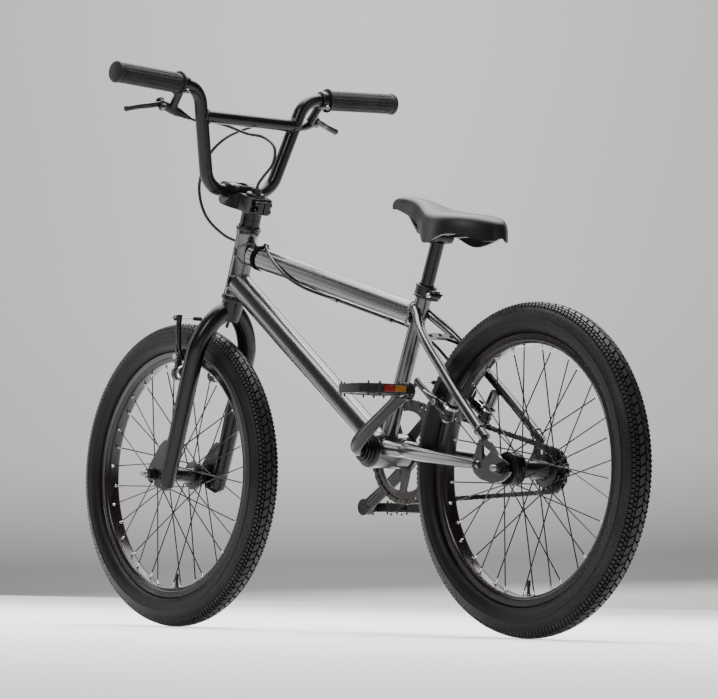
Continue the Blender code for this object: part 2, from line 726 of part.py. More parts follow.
# ---- wheels --------------------------------------------------------------------------------
def build_wheel(end, axle, wheel, flanges, flange_r, hub_profile):
    centre = axle
    sideways = Vector((0, 1, 0))
    outer = [(12.0, 204.0), (12.2, 210.8), (21.5, 213.5), (26.8, 227.0), (21.0, 250.0), (7.0, 258.0)]
    inner = [(5.0, 254.0), (17.5, 246.8), (23.0, 228.5), (9.4, 204.0)]
    tyre = [*outer, *[(-y, r) for y, r in outer[::-1]], *[(-y, r) for y, r in inner[::-1]], *inner]
    piece(f"{end}_tyre", lathe(tyre, centre, sideways, WHEEL_SEGMENTS), "tyre_rubber", wheel)

    rim = [(RIM_HALF, RIM_R), (RIM_HALF, 199.0), (10.0, RIM_INNER_R), (-10.0, RIM_INNER_R), (-RIM_HALF, 199.0),
           (-RIM_HALF, RIM_R), (-12.6, RIM_R), (-12.6, 202.5), (-6.0, 198.0), (6.0, 198.0), (12.6, 202.5),
           (12.6, RIM_R)]
    rim = lathe(rim, centre, sideways, WHEEL_SEGMENTS)
    valve_hole = rod(centre - Vector((0, 0, 180)), centre - Vector((0, 0, 215)), 4.2, 12)
    piece(f"{end}_rim", largest(cut(rim, valve_hole)), "black_paint", wheel)

    ring = 5
    tube_out = [(18.0 * math.cos(math.tau * k / ring), 230.5 + 18.0 * math.sin(math.tau * k / ring))
                for k in range(ring)]
    tube_in = [(16.4 * math.cos(math.tau * k / ring), 230.5 + 16.4 * math.sin(math.tau * k / ring))
               for k in range(ring)]
    tube = lathe(tube_out, centre, sideways, 18)
    tube = add(tube, rod(centre - Vector((0, 0, 168)), centre - Vector((0, 0, 216.5)), 3.2, 8))
    tube = cut(tube, lathe(tube_in, centre, sideways, 18),
               rod(centre - Vector((0, 0, 160)), centre - Vector((0, 0, 222)), 1.6, 6))
    piece(f"{end}_inner_tube", largest(tube), "tube_rubber", wheel)

    piece(f"{end}_hub", lathe(hub_profile, centre, sideways, 12), "black_steel", wheel)
    for side, name in ((1, "left"), (-1, "right")):
        spokes = build_spokes(centre, side, flanges[0 if side == 1 else 1], flange_r)
        piece(f"{end}_spokes_{name}", spokes, "black_steel", wheel)


def build_spokes(centre, side, flange_y, flange_r):
    """Half of one side's spokes lean forwards and half lean back, and they cross on the way."""
    families = []
    step = math.tau / SPOKES_PER_SIDE
    start_offset = step / 4 if side == 1 else 3 * step / 4
    rim_r = RIM_INNER_R * math.cos(math.pi / WHEEL_SEGMENTS) - 0.6
    for lean in (1, -1):
        spokes = []
        for index in range(SPOKES_PER_SIDE // 2):
            hub_angle = start_offset + (2 * index + (0 if lean == 1 else 1)) * step
            rim_angle = hub_angle + lean * SPOKE_CROSSES * step
            start = around(centre, hub_angle, flange_r - 3.0, flange_y + 0.25 * lean)
            end = around(centre, rim_angle, rim_r, side * 3.0 - 0.25 * lean)
            spokes.append(rod(start, end, SPOKE_R + 0.03 * lean, 3))
        families.append(joined(*spokes))
    return boolean(families[0], families[1], "UNION")


def around(centre, angle, radius, y):
    return centre + Vector((radius * math.cos(angle), y, radius * math.sin(angle)))


FRONT_HUB = [(-46, 5.4), (-46, 9), (-40, 9), (-39, 13.5), (-31, 13.5), (-29.5, 24), (-26.5, 24), (-25, 13),
             (0, 11.5), (25, 13), (26.5, 24), (29.5, 24), (31, 13.5), (39, 13.5), (40, 9), (46, 9), (46, 5.4)]
REAR_HUB = [(-52, 5.4), (-52, 9), (-49, 9), (-49, 15.6), (-32, 15.6), (-30, 26), (-27, 26), (-25, 16), (0, 13.5),
            (28, 15), (30, 26), (33, 26), (34.5, 17), (42, 17), (43, 10), (50, 10), (50, 5.4)]


def build_axles(steering, frame):
    for end, axle, parent, inner, outer in (("front", FRONT_AXLE, steering, 50.8, 56.8),
                                             ("rear", REAR_AXLE, frame, 55.3, 60.3)):
        rod_part = rod(axle - Vector((0, AXLE_HALF, 0)), axle + Vector((0, AXLE_HALF, 0)), AXLE_R, 12)
        for side in (1, -1):
            hub_end = 46.4 if end == "front" else (50.4 if side == 1 else 52.4)
            low, high = Vector((0, side * hub_end, 0)), Vector((0, side * (inner - GAP), 0))
            rod_part = add(rod_part, rod(axle + low, axle + high, 8.5, 12))
        piece(f"{end}_axle", largest(rod_part), "steel", parent)
        for side, name in ((1, "left"), (-1, "right")):
            first = outer + GAP
            nut = lathe([(first, NUT_BORE_R), (first, 11.5), (first + 1.6, 11.5), (first + 1.6, 9.2),
                         (first + 11.5, 9.2), (first + 12.5, 8.0), (first + 12.5, NUT_BORE_R)],
                        axle, (0, side, 0), 6)
            piece(f"{end}_axle_nut_{name}", nut, "black_steel", parent)


# ---- cranks, chain and pedals --------------------------------------------------------------
def crank_direction(side):
    return Vector((-math.cos(CRANK_ANGLE), 0, math.sin(CRANK_ANGLE))) * side


def crank_end(side):
    return BB_CENTRE + crank_direction(side) * CRANK_LENGTH + Vector((0, ARM_Y * side, 0))


def sprocket(centre, teeth, y, thickness, bore):
    """A toothed plate. Each tooth stands between two rollers of the chain."""
    pitch_r = CHAIN_PITCH / (2 * math.sin(math.pi / teeth))
    outline = []
    for tooth in range(teeth):
        middle = tooth_phase(teeth) + math.tau * tooth / teeth
        half = math.pi / teeth
        for turn, radius in ((-0.62, pitch_r - 3.6), (-0.2, pitch_r + 3.6),
                             (0.2, pitch_r + 3.6), (0.62, pitch_r - 3.6)):
            angle = middle + half * turn
            outline.append((centre.x + radius * math.cos(angle), centre.z + radius * math.sin(angle)))
    disc = plate(outline, y - thickness / 2, y + thickness / 2, lambda u, v, w: (u, w, v))
    hole = rod((centre.x, y - thickness, centre.z), (centre.x, y + thickness, centre.z), bore, 16)
    return cut(disc, hole)


def tooth_phase(teeth):
    return math.pi / 2 + math.pi / teeth


def build_crank(crank):
    arm_l = crank_direction(1)
    line = []
    for side in (-1, 1):
        way = crank_direction(side)
        end = crank_end(side)
        half = [(end - way * 6, 11.0, 7.5), (BB_CENTRE + way * 110 + Vector((0, 79 * side, 0)), 10.5, 7.0),
                (BB_CENTRE + way * 55 + Vector((0, 76 * side, 0)), 12.0, 7.5),
                (BB_CENTRE + way * 24 + Vector((0, 72 * side, 0)), 12.6, 8.5),
                (BB_CENTRE + way * 8 + Vector((0, 64 * side, 0)), 12.2, 11.0),
                (BB_CENTRE + way * 1.0 + Vector((0, 54 * side, 0)), SPINDLE_R, SPINDLE_R),
                (BB_CENTRE + Vector((0, 46 * side, 0)), SPINDLE_R, SPINDLE_R)]
        line.append(half if side == -1 else half[::-1])
    stations = [*line[0], *line[1]]
    points = [station[0] for station in stations]
    normal = arm_l.cross(Vector((0, 1, 0))).normalized()
    one = sweep(points, [station[1] for station in stations], 12, side=normal,
                squash=[station[2] for station in stations])
    for side in (1, -1):
        end = crank_end(side)
        boss = rod(end - Vector((0, 7.5 * side, 0)), end + Vector((0, 7.5 * side, 0)), 14.0, 16)
        bore = rod(end - Vector((0, 12 * side, 0)), end + Vector((0, 12 * side, 0)), 7.0 + GAP, 12)
        one = cut(add(one, boss), bore)
    piece("crank", largest(one), "black_paint", crank)

    ring = sprocket(BB_CENTRE, RING_TEETH, CHAIN_Y, 3.0, SPINDLE_R + 2 * GAP)
    for index in range(5):
        angle = math.radians(18) + math.tau * index / 5
        ring = cut(ring, window(angle, 24.0, 66.0))
    piece("chainring", largest(ring), "chain_steel", crank)


def window(angle, inner, outer):
    """A rounded opening between two arms of the chainring."""
    half = math.radians(27)
    outline = []
    for step in range(5):
        turn = angle - half + 2 * half * step / 4
        outline.append((outer, turn))
    for step in range(3):
        turn = angle + half * 0.55 * (1 - step)
        outline.append((inner + 4 * abs(step - 1), turn))
    points = [(BB_CENTRE.x + r * math.cos(a), BB_CENTRE.z + r * math.sin(a)) for r, a in outline]
    return plate(points, CHAIN_Y - 5, CHAIN_Y + 5, lambda u, v, w: (u, w, v))


def build_pedals(crank):
    for side, name in ((1, "left"), (-1, "right")):
        end = crank_end(side)
        axle = lathe([(ARM_Y - 7.4, 0), (ARM_Y - 7.4, 7.0), (ARM_Y + 7.8, 7.0), (ARM_Y + 7.8, 9.5),
                      (ARM_Y + 11.0, 9.5), (ARM_Y + 11.0, 6.0), (PEDAL_OUTER - 4, 4.6), (PEDAL_OUTER - 4, 0)],
                     Vector((end.x, 0, end.z)), (0, side, 0), 12)
        piece(f"pedal_axle_{name}", axle, "steel", crank)
        pedal_body = body(f"pedal_{name}_body", (end.x, 135 * side, end.z), crank)
        x, inner, outer = PEDAL_HALF_X, PEDAL_INNER, PEDAL_OUTER
        outline = [(-x, inner + 12), (-x + 10, inner), (x - 10, inner), (x, inner + 12), (x, outer - 20),
                   (x - 20, outer), (-x + 20, outer), (-x, outer - 20)]
        platform = plate([(end.x + u, v * side) for u, v in outline], end.z - PEDAL_HALF_Z, end.z + PEDAL_HALF_Z,
                         lambda u, v, w: (u, v, w))
        for forward in (-1, 1):
            for low, high in ((inner + 9, inner + 40), (inner + 48, outer - 14)):
                middle = (low + high) / 2
                window_box = box((end.x + forward * 24.0, middle * side, end.z), (26, high - low, 40))
                platform = cut(platform, window_box)
        bore = lathe([(PEDAL_INNER - 3, 0), (PEDAL_INNER - 3, 6.3), (PEDAL_OUTER - 3.6, 4.88),
                      (PEDAL_OUTER - 3.6, 0)], Vector((end.x, 0, end.z)), (0, side, 0), 12)
        piece(f"pedal_{name}", largest(cut(platform, bore)), "black_plastic", pedal_body)


def chain_line(offset):
    """The chain's loop, offset outwards from the line through its pins."""
    ring_r = CHAIN_PITCH / (2 * math.sin(math.pi / RING_TEETH))
    cog_r = CHAIN_PITCH / (2 * math.sin(math.pi / COG_TEETH))
    span = Vector((BB_CENTRE.x - REAR_AXLE.x, 0, BB_CENTRE.z - REAR_AXLE.z))
    slope = math.atan2(span.z, span.x)
    open_angle = math.acos((cog_r - ring_r) / span.length)
    top, bottom = slope + open_angle, slope - open_angle
    points = []
    for centre, radius, start, end, steps in ((BB_CENTRE, ring_r + offset, bottom, top, 22),
                                              (REAR_AXLE, cog_r + offset, top, bottom + math.tau, 10)):
        for step in range(steps + 1):
            angle = start + (end - start) * step / steps
            points.append((centre.x + radius * math.cos(angle), centre.z + radius * math.sin(angle)))
    return points


def build_chain(frame):
    inner, outer = chain_line(-4.0), chain_line(4.0)
    bands = []
    for low, high in ((-4.0, -2.2), (2.2, 4.0)):
        bands.append(ring_plate(outer, inner, CHAIN_Y + low, CHAIN_Y + high, lambda u, v, w: (u, w, v)))
    chain = joined(*bands)
    line = chain_line(0.0)
    ring_steps = 23
    for start, end in ((line[ring_steps - 1], line[ring_steps]), (line[0], line[-1])):
        start, end = Vector((start[0], CHAIN_Y, start[1])), Vector((end[0], CHAIN_Y, end[1]))
        along = (end - start).normalized()
        first, last = start + along * 38, end - along * 27
        across = Vector((-along.z, 0, along.x)) * 3.0
        corners = [first + across, last + across, last - across, first - across]
        web = plate([(point.x, point.z) for point in corners], CHAIN_Y - 3.0, CHAIN_Y + 3.0,
                    lambda u, v, w: (u, w, v))
        chain = add(chain, web)
    piece("chain", largest(chain), "chain_steel", frame)


def build_freewheel(freewheel):
    cog = sprocket(REAR_AXLE, COG_TEETH, CHAIN_Y, 3.0, 18.0)
    shell = lathe([(-51.5, 16.4), (-51.5, 21.0), (-49.0, 24.0), (-38.5, 24.0), (-36.8, 22.0), (-36.8, 16.4)],
                  REAR_AXLE, (0, 1, 0), 16)
    piece("freewheel", largest(add(shell, cog)), "chain_steel", freewheel)


def build_bottom_bracket(frame):
    left = [(22, 12.4), (22, 25.2), (34.3, 25.2), (34.3, 27.5), (37.5, 27.5), (38.5, 21.5), (43.5, 21.5),
            (43.5, 12.4)]
    right = [(22, 12.4), (22, 25.2), (34.3, 25.2), (34.3, 27.5), (36.8, 27.5), (37.4, 20), (40.4, 20),
             (40.4, 12.4)]
    piece("bottom_bracket_cup_left", lathe(left, BB_CENTRE, (0, 1, 0), 16), "black_steel", frame)
    piece("bottom_bracket_cup_right", lathe(right, BB_CENTRE, (0, -1, 0), 16), "black_steel", frame)


# ---- saddle --------------------------------------------------------------------------------
SADDLE_STATIONS = (
    # x, half width, top height, skirt height, thickness
    (-116.5, 6.0, 687.0, 680.0, 99.0),
    (-121.0, 12.5, 691.0, 677.0, 99.0),
    (-134.0, 17.5, 695.5, 675.5, 99.0),
    (-146.0, 19.0, 696.5, 672.5, 9.0),
    (-168.0, 20.5, 693.5, 664.0, 9.0),
    (-192.0, 25.0, 687.5, 652.5, 9.0),
    (-214.0, 34.5, 679.0, 637.5, 9.0),
    (-234.0, 47.0, 672.5, 621.5, 9.0),
    (-252.0, 56.0, 668.5, 612.5, 9.0),
    (-278.0, 61.5, 664.5, 617.0, 9.0),
    (-304.0, 60.0, 660.5, 623.5, 9.0),
    (-328.0, 49.5, 657.0, 622.5, 9.0),
    (-348.0, 36.0, 652.0, 615.5, 9.0),
    (-363.0, 22.0, 645.0, 611.5, 9.0),
    (-371.5, 10.0, 636.5, 613.0, 99.0),
)
SECTION = ((1.0, 0.0), (1.0, 0.35), (0.97, 0.66), (0.84, 0.88), (0.55, 0.98), (0.2, 1.0))


def saddle_section(x, half, top, skirt, thickness):
    """The outside from the left skirt over the top to the right, then back inside."""
    def arch(width, high, low):
        left = [(width * u, low + (high - low) * v) for u, v in SECTION]
        return left + [(-y, z) for y, z in left[::-1]]

    deep = thickness > 50
    inner_high = skirt + 0.6 if deep else top - thickness
    inner_half = half * 0.8 if deep else half - 5.5
    outer, inner = arch(half, top, skirt), arch(inner_half, inner_high, skirt)
    return [(x, y, z) for y, z in outer + inner[::-1]]


def build_saddle(saddle):
    rings = [saddle_section(*station) for station in SADDLE_STATIONS]
    count = len(rings[0])
    verts = [point for ring in rings for point in ring]
    faces = [list(range(count)), list(range(len(verts) - count, len(verts)))]
    for ring in range(len(rings) - 1):
        for step in range(count):
            turn = (step + 1) % count
            low, high = ring * count, (ring + 1) * count
            faces.append([low + step, low + turn, high + turn, high + step])
    piece("saddle", solid(verts, faces), "saddle_cover", saddle)

    rails = None
    for side in (1, -1):
        line = sided(side, [(-150, 0.2, 671), (-153, 6, 670.5), (-164, 9.5, 664), (-190, 17, 642), (-204, 20.5, 634),
                            (-240, 20.5, 630), (-280, 22, 630), (-318, 24, 634), (-338, 20, 637)])
        rail = sweep(line, 3.5, 6)
        rails = rail if rails is None else add(rails, rail)
    pivot = SADDLE_PIVOT
    for side in (1, -1):
        rails = add(rails, rod(pivot + Vector((0, 16.4 * side, 0)), pivot + Vector((0, 25.0 * side, 0)), 11.0, 16))
    rails = cut(rails, rod(pivot - Vector((0, 30, 0)), pivot + Vector((0, 30, 0)), 3.65, 16))
    piece("saddle_rails", largest(rails), "black_steel", saddle)


SADDLE_PIVOT = Vector((-221.0, 0.0, 628.5))


def build_seat_post(post_body, frame):
    tube = rod(seat(165), seat(350), SEAT_POST_R, 20)
    tube = add(tube, rod(SADDLE_PIVOT - Vector((0, 16.0, 0)), SADDLE_PIVOT + Vector((0, 16.0, 0)), 12.0, 16))
    tube = add(tube, rod(SADDLE_PIVOT - Vector((0, 29.0, 0)), SADDLE_PIVOT + Vector((0, 29.0, 0)), 3.5, 16))
    tube = cut(tube, rod(seat(160), seat(335), SEAT_POST_R - 1.6, 16))
    piece("seat_post", largest(tube), "black_paint", post_body)

    clamp = lathe([(258, SEAT_TUBE_R + GAP), (258, 17.0), (278, 17.0), (278, 13.0), (SEAT_TUBE_TOP + GAP, 13.0),
                   (SEAT_TUBE_TOP + GAP, SEAT_TUBE_R + GAP)], SEAT_BASE, SEAT_UP, 16)
    turn = Matrix((Vector((SEAT_UP.z, 0, -SEAT_UP.x)), (0, 1, 0), SEAT_UP)).transposed()
    clamp = add(clamp, box(seat(267, -21.5), (14, 17, 17), turn))
    clamp = add(clamp, rod(seat(267, -24, -16), seat(267, -24, 14), 5.2, 8))
    clamp = cut(clamp, rod(seat(240), seat(272.9), SEAT_TUBE_R + GAP, 16), box(seat(268, -24), (26, 1.6, 40), turn),
                rod(seat(240), seat(300), SEAT_POST_R + GAP + 0.3, 16))
    clamp = add(largest(clamp), rod(seat(267, -24, -8), seat(267, -24, 8), 2.6, 12))
    piece("seat_clamp", largest(clamp), "black_paint", frame)


# ---- brake cables --------------------------------------------------------------------------
JACKET_R = 2.3
WIRE_R = 0.9


def round_top_tube(x, degrees):
    """A point on a line that winds round the top tube, from its top towards its left side."""
    axis = Vector((262.0, 0, 623.8)) + Vector((x - 262.0, 0, (x - 262.0) * 0.2708))
    up = Vector((-0.2614, 0, 0.9652))
    angle = math.radians(degrees)
    return axis + (up * math.cos(angle) + Vector((0, 1, 0)) * math.sin(angle)) * (TOP_TUBE_R + JACKET_R + 0.5)


def brake_cable(path, arm_top, steps):
    """Jacket along the path, then the bare wire from one arm to the other."""
    line = curved(path, steps)
    line += [arm_top + Vector((0, -9.0, 0)), arm_top + Vector((0, -8.0, 0))]
    radii = [JACKET_R] * (len(line) - 1) + [WIRE_R]
    line.append(Vector((arm_top.x, -arm_top.y + 9.0, arm_top.z)))
    return sweep(line, [*radii, WIRE_R], 4)


def arm_top(pivot, lift, post_axis):
    return Vector((pivot.x, -pivot.y, pivot.z)) + lift * (ARM_LENGTH - 4) + Vector((0, 3.7, 0)) + post_axis * 3.0


REAR_LIFT = Vector((0.843, 0, 0.538))
FRONT_LIFT = Vector((0.09, 0, 0.996))


def build_cables(steering, frame):
    way = (LEVER_PIVOT - CABLE_EXIT).normalized()
    out = CABLE_EXIT + way * 7
    top = arm_top(FRONT_PIVOT, FRONT_LIFT, FRONT_POST)
    path = [out, CABLE_EXIT - way * 8, (302, 95, 845), (311, 62, 848), (307, 22, 842), (291, -4, 831), (266, -21, 824),
            (243, -27, 806), (238, -21, 778), (244, -7, 756), head(136), head(118), head(60), head(0), head(-60),
            head(-100), head(-112, 6, -3), head(-112, 22, -14), (383, -36, 535), (402, -55, 541),
            top + Vector((0, -26, 4)), top + Vector((0, -15, 0))]
    piece("front_brake_cable", brake_cable(path, top, 2), "cable_jacket", steering)

    out, exit_point = mirrored(out), mirrored(CABLE_EXIT)
    way = mirrored(way)
    top = arm_top(REAR_PIVOT, REAR_LIFT, REAR_POST)
    wrap = [round_top_tube(x, degrees) for x, degrees in
            ((254, -52), (236, -12), (214, 28), (188, 62), (160, 92), (132, 124), (100, 152), (66, 172), (30, 180),
             (-50, 180), (-110, 181), (-134, 186))]
    path = [out, exit_point - way * 8, (303, -88, 846), (313, -55, 850), (314, -20, 842), (323, 18, 822),
            (337, 41, 790), (357, 43, 742), (351, 33, 694), (333, 8, 662), (312, -13, 649), (288, -25, 642), *wrap,
            (-156, -12, 484), (-172, -18.5, 474), (-192, -28, 455), (-210, -44, 428), (-221, -60, 408),
            top + Vector((0, -24, 2)), top + Vector((0, -15, 0))]
    piece("rear_brake_cable", brake_cable(path, top, 2), "cable_jacket", frame)


# ---- assembly ------------------------------------------------------------------------------
def main():
    clear_scene()
    frame = body("frame_body", (0, 0, 0))
    steering = body("steering_body", HEAD_POINT, frame)
    front_wheel = body("front_wheel_body", FRONT_AXLE, steering)
    rear_wheel = body("rear_wheel_body", REAR_AXLE, frame)
    freewheel = body("freewheel_body", REAR_AXLE, frame)
    crank = body("crank_body", BB_CENTRE, frame)
    seat_post = body("seat_post_body", seat(SEAT_TUBE_TOP), frame)
    saddle = body("saddle_body", SADDLE_PIVOT, seat_post)

    build_frame(frame)
    build_bottom_bracket(frame)
    build_front(steering, frame)
    for side, name in ((1, "left"), (-1, "right")):
        build_brake(steering, "front", FRONT_PIVOT, FRONT_POST, FRONT_LIFT, side, name)
        build_brake(frame, "rear", REAR_PIVOT, REAR_POST, REAR_LIFT, side, name)
    build_axles(steering, frame)
    build_wheel("front", FRONT_AXLE, front_wheel, (33.4, -33.4), 24.0, FRONT_HUB)
    build_wheel("rear", REAR_AXLE, rear_wheel, (36.9, -33.9), 26.0, REAR_HUB)
    build_crank(crank)
    build_pedals(crank)
    build_chain(frame)
    build_freewheel(freewheel)
    build_saddle(saddle)
    build_seat_post(seat_post, frame)
    build_cables(steering, frame)


main()
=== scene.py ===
"""The looks of the BMX bike: fine surfaces, materials, cables, floor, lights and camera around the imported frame.

Lengths are in millimetres here and metres in the scene. +X is forward, +Y is the rider's left, +Z is up.
"""

import json
import math

import bmesh
import bpy
from mathutils import Matrix, Vector


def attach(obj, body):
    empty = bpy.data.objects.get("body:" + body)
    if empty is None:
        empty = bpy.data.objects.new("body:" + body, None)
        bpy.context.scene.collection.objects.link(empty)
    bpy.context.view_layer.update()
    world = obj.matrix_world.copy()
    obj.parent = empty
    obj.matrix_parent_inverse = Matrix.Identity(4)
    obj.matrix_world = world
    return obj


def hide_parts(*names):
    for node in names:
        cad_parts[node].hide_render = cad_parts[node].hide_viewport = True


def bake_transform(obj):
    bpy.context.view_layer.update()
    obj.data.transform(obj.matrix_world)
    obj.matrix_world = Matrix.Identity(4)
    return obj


MM = 0.001
LEFT_AND_RIGHT = ((1, "left"), (-1, "right"))

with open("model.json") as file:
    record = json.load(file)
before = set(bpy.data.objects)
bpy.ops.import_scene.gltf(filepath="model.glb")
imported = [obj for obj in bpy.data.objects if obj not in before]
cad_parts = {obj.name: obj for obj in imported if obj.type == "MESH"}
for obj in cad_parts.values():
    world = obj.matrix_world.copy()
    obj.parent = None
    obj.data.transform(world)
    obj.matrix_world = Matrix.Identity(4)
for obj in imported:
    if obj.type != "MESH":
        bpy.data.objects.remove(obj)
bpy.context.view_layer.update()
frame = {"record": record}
joints = {joint["name"]: joint for joint in frame["record"]["behaviour"]["joints"]}


# ---- places, read from the frame -------------------------------------------------------------
def pivot_of(joint):
    """A joint's point, in millimetres."""
    return Vector(joints[joint]["pos_m"]) / MM


def way_of(joint):
    return Vector(joints[joint]["axis"]).normalized()


FRONT_AXLE = pivot_of("front_wheel_spin")
REAR_AXLE = pivot_of("rear_wheel_spin")
HEAD_POINT = pivot_of("steering")
HEAD_UP = way_of("steering")
HEAD_FORWARD = Vector((HEAD_UP.z, 0, -HEAD_UP.x))
SEAT_UP = way_of("seat_height")
SADDLE_PIVOT = pivot_of("saddle_tilt")
BB_CENTRE = pivot_of("crank_spin")
TYRE_R = FRONT_AXLE.z

HEAD_LOW = -57.0
HEAD_TOP = 56.0
HEAD_R = 18.0
STEERER_R = 14.3
STEM_PARTING = 111.0
STEM_TOP = 116.0
STEM_HALF_WIDTH = 27.0
BAR_FORWARD = 49.3
BAR_R = 11.1
BB_SHELL_R = 28.5
BB_HALF = 34.0
SEAT_BASE = Vector((-100.0, 0, BB_CENTRE.z))
SEAT_TUBE_R = 12.9
SEAT_TUBE_TOP = 273.0
SEAT_POST_R = 11.1
TOP_TUBE_R = 19.0
DOWN_TUBE_R = 20.0
STAY_R = 8.0
RIM_R = 209.5
RIM_INNER_R = 192.5
RIM_HALF = 15.0
SPOKES_PER_SIDE = 18
CHAIN_Y = -43.0
CHAIN_PITCH = 12.7
RING_TEETH = 40
COG_TEETH = 16
SPINDLE_R = 11.8
ARM_WIDTH = 26.0
ARM_LENGTH = 100.0


def head(along, forward=0.0, left=0.0):
    """A point given along the steering axis, forward of it and to its left."""
    return HEAD_POINT + HEAD_UP * along + HEAD_FORWARD * forward + Vector((0, left, 0))


def seat(along, forward=0.0, left=0.0):
    """A point given along the seat tube, forward of it and to its left."""
    return SEAT_BASE + SEAT_UP * along + Vector((SEAT_UP.z, 0, -SEAT_UP.x)) * forward + Vector((0, left, 0))


def bar_point(left, up, back=0.0):
    """A point on the handlebar's plane, up from its clamp."""
    lean = Vector((-0.2204, 0, 0.9754))
    return head(STEM_PARTING, BAR_FORWARD) + lean * up + Vector((-back, left, 0))


# ---- materials ---------------------------------------------------------------------------------
def surface(name, colour, roughness, metallic=0.0, coat=0.0, grain=0.1, grain_mm=0.6, shift=0.12, second=None,
            blotch_mm=60.0, sheen=0.0, shine=0.5):
    """A material with fine grain in its bump and roughness, and slow changes of colour over its surface."""
    mat = bpy.data.materials.new(name)
    mat.use_nodes = True
    tree = mat.node_tree
    shader = tree.nodes["Principled BSDF"]
    shader.inputs["Metallic"].default_value = metallic
    shader.inputs["Coat Weight"].default_value = coat
    shader.inputs["Coat Roughness"].default_value = 0.14
    shader.inputs["Specular IOR Level"].default_value = shine
    shader.inputs["Sheen Weight"].default_value = sheen
    place = tree.nodes.new("ShaderNodeTexCoord")

    def noise(size_mm, detail):
        node = tree.nodes.new("ShaderNodeTexNoise")
        node.inputs["Scale"].default_value = 1.0 / (size_mm * MM)
        node.inputs["Detail"].default_value = detail
        tree.links.new(place.outputs["Object"], node.inputs["Vector"])
        return node

    fine, broad = noise(grain_mm, 4.0), noise(blotch_mm, 6.0)
    blend = tree.nodes.new("ShaderNodeMix")
    blend.data_type = "RGBA"
    other = second or [min(1.0, channel * (1.0 + 4.0 * shift) + 0.01 * shift) for channel in colour]
    blend.inputs["A"].default_value = (*colour, 1.0)
    blend.inputs["B"].default_value = (*other, 1.0)
    spread = tree.nodes.new("ShaderNodeMapRange")
    spread.inputs["From Min"].default_value = 0.4
    spread.inputs["From Max"].default_value = 0.75
    tree.links.new(broad.outputs["Fac"], spread.inputs["Value"])
    tree.links.new(spread.outputs["Result"], blend.inputs["Factor"])
    tree.links.new(blend.outputs["Result"], shader.inputs["Base Color"])
    rough = tree.nodes.new("ShaderNodeMapRange")
    rough.inputs["From Min"].default_value = 0.3
    rough.inputs["From Max"].default_value = 0.7
    rough.inputs["To Min"].default_value = max(0.02, roughness - 0.06)
    rough.inputs["To Max"].default_value = min(1.0, roughness + 0.08)
    tree.links.new(fine.outputs["Fac"], rough.inputs["Value"])
    tree.links.new(rough.outputs["Result"], shader.inputs["Roughness"])
    bump = tree.nodes.new("ShaderNodeBump")
    bump.inputs["Strength"].default_value = grain
    bump.inputs["Distance"].default_value = 0.15 * MM
    tree.links.new(fine.outputs["Fac"], bump.inputs["Height"])
    tree.links.new(bump.outputs["Normal"], shader.inputs["Normal"])
    return mat


FRAME_PAINT = surface("frame_paint", (0.060, 0.059, 0.063), 0.27, metallic=0.9, coat=0.4, grain=0.06, grain_mm=0.35,
                      shift=0.05)
WELD = surface("weld", (0.050, 0.050, 0.053), 0.34, metallic=0.9, coat=0.5, grain=0.35, grain_mm=1.2, shift=0.05)
BLACK_PAINT = surface("black_paint", (0.0032, 0.0028, 0.0027), 0.24, grain=0.2, grain_mm=0.9, shine=0.22)
BLACK_ALLOY = surface("black_alloy", (0.0034, 0.003, 0.003), 0.28, metallic=0.1, grain=0.3, grain_mm=0.7, shine=0.25)
RIM_ALLOY = surface("rim_alloy", (0.0070, 0.0042, 0.0040), 0.24, metallic=0.2, grain=0.08, shift=0.2, shine=0.34)
# The tread rubber is lighter than the sidewall rubber: a painted highlight on the blocks' tops. The brake pads share
# it.
RUBBER = surface("tread_rubber", (0.0085, 0.0078, 0.0078), 0.48, grain=0.6, grain_mm=0.9, shift=0.25, shine=0.2)
# Near-black rubber: painted shade at the bottom of the tread's grooves, and the real black of the cable band's strap.
GROOVE_SHADE_AND_STRAP_BLACK = surface("tread_groove_shade_and_strap_black", (0.0012, 0.0011, 0.0011), 0.9, grain=0.4, grain_mm=0.9, shine=0.04)
SIDEWALL = surface("sidewall_rubber", (0.0026, 0.0022, 0.0023), 0.44, grain=0.3, grain_mm=0.8,
                   second=(0.0042, 0.0037, 0.0045), shine=0.15)
GRIP = surface("grip_rubber", (0.0048, 0.0046, 0.0046), 0.55, grain=0.5, grain_mm=0.7, shift=0.25, shine=0.22)
PLASTIC = surface("black_plastic", (0.0042, 0.004, 0.004), 0.34, grain=0.4, grain_mm=1.1, shift=0.25, shine=0.28)
STEEL = surface("bright_steel", (0.50, 0.49, 0.48), 0.24, metallic=1.0, grain=0.1, grain_mm=0.5, shift=0.05)
ZINC = surface("zinc_steel", (0.17, 0.16, 0.155), 0.33, metallic=1.0, grain=0.2, grain_mm=0.8)
BLACK_STEEL = surface("black_steel", (0.010, 0.009, 0.0085), 0.30, metallic=0.5, grain=0.2, grain_mm=0.6, shine=0.35)
SPOKE = surface("spoke_black", (0.004, 0.0034, 0.0032), 0.3, metallic=0.2, grain=0.05, shine=0.2)
CHAIN = surface("chain_steel", (0.020, 0.0165, 0.0145), 0.34, metallic=0.6, grain=0.25, grain_mm=0.8, shift=0.3)
RING = surface("chainring_steel", (0.014, 0.0115, 0.0102), 0.34, metallic=0.5, grain=0.4, grain_mm=1.4, shift=0.5,
               blotch_mm=14.0)
JACKET = surface("cable_jacket", (0.0036, 0.0036, 0.0038), 0.34, grain=0.1, shine=0.3)
VINYL = surface("saddle_vinyl", (0.0034, 0.0034, 0.0044), 0.38, grain=0.6, grain_mm=0.9, shift=0.15, sheen=0.004,
                shine=0.18)
REFLECT_RED = surface("reflector_red", (0.085, 0.003, 0.0025), 0.16, coat=0.5, grain=0.4, grain_mm=2.2, shift=0.3)
REFLECT_AMBER = surface("reflector_amber", (0.095, 0.040, 0.003), 0.16, coat=0.5, grain=0.4, grain_mm=2.2, shift=0.3)


# ---- meshes ------------------------------------------------------------------------------------
def outward(bm):
    bmesh.ops.recalc_face_normals(bm, faces=bm.faces)


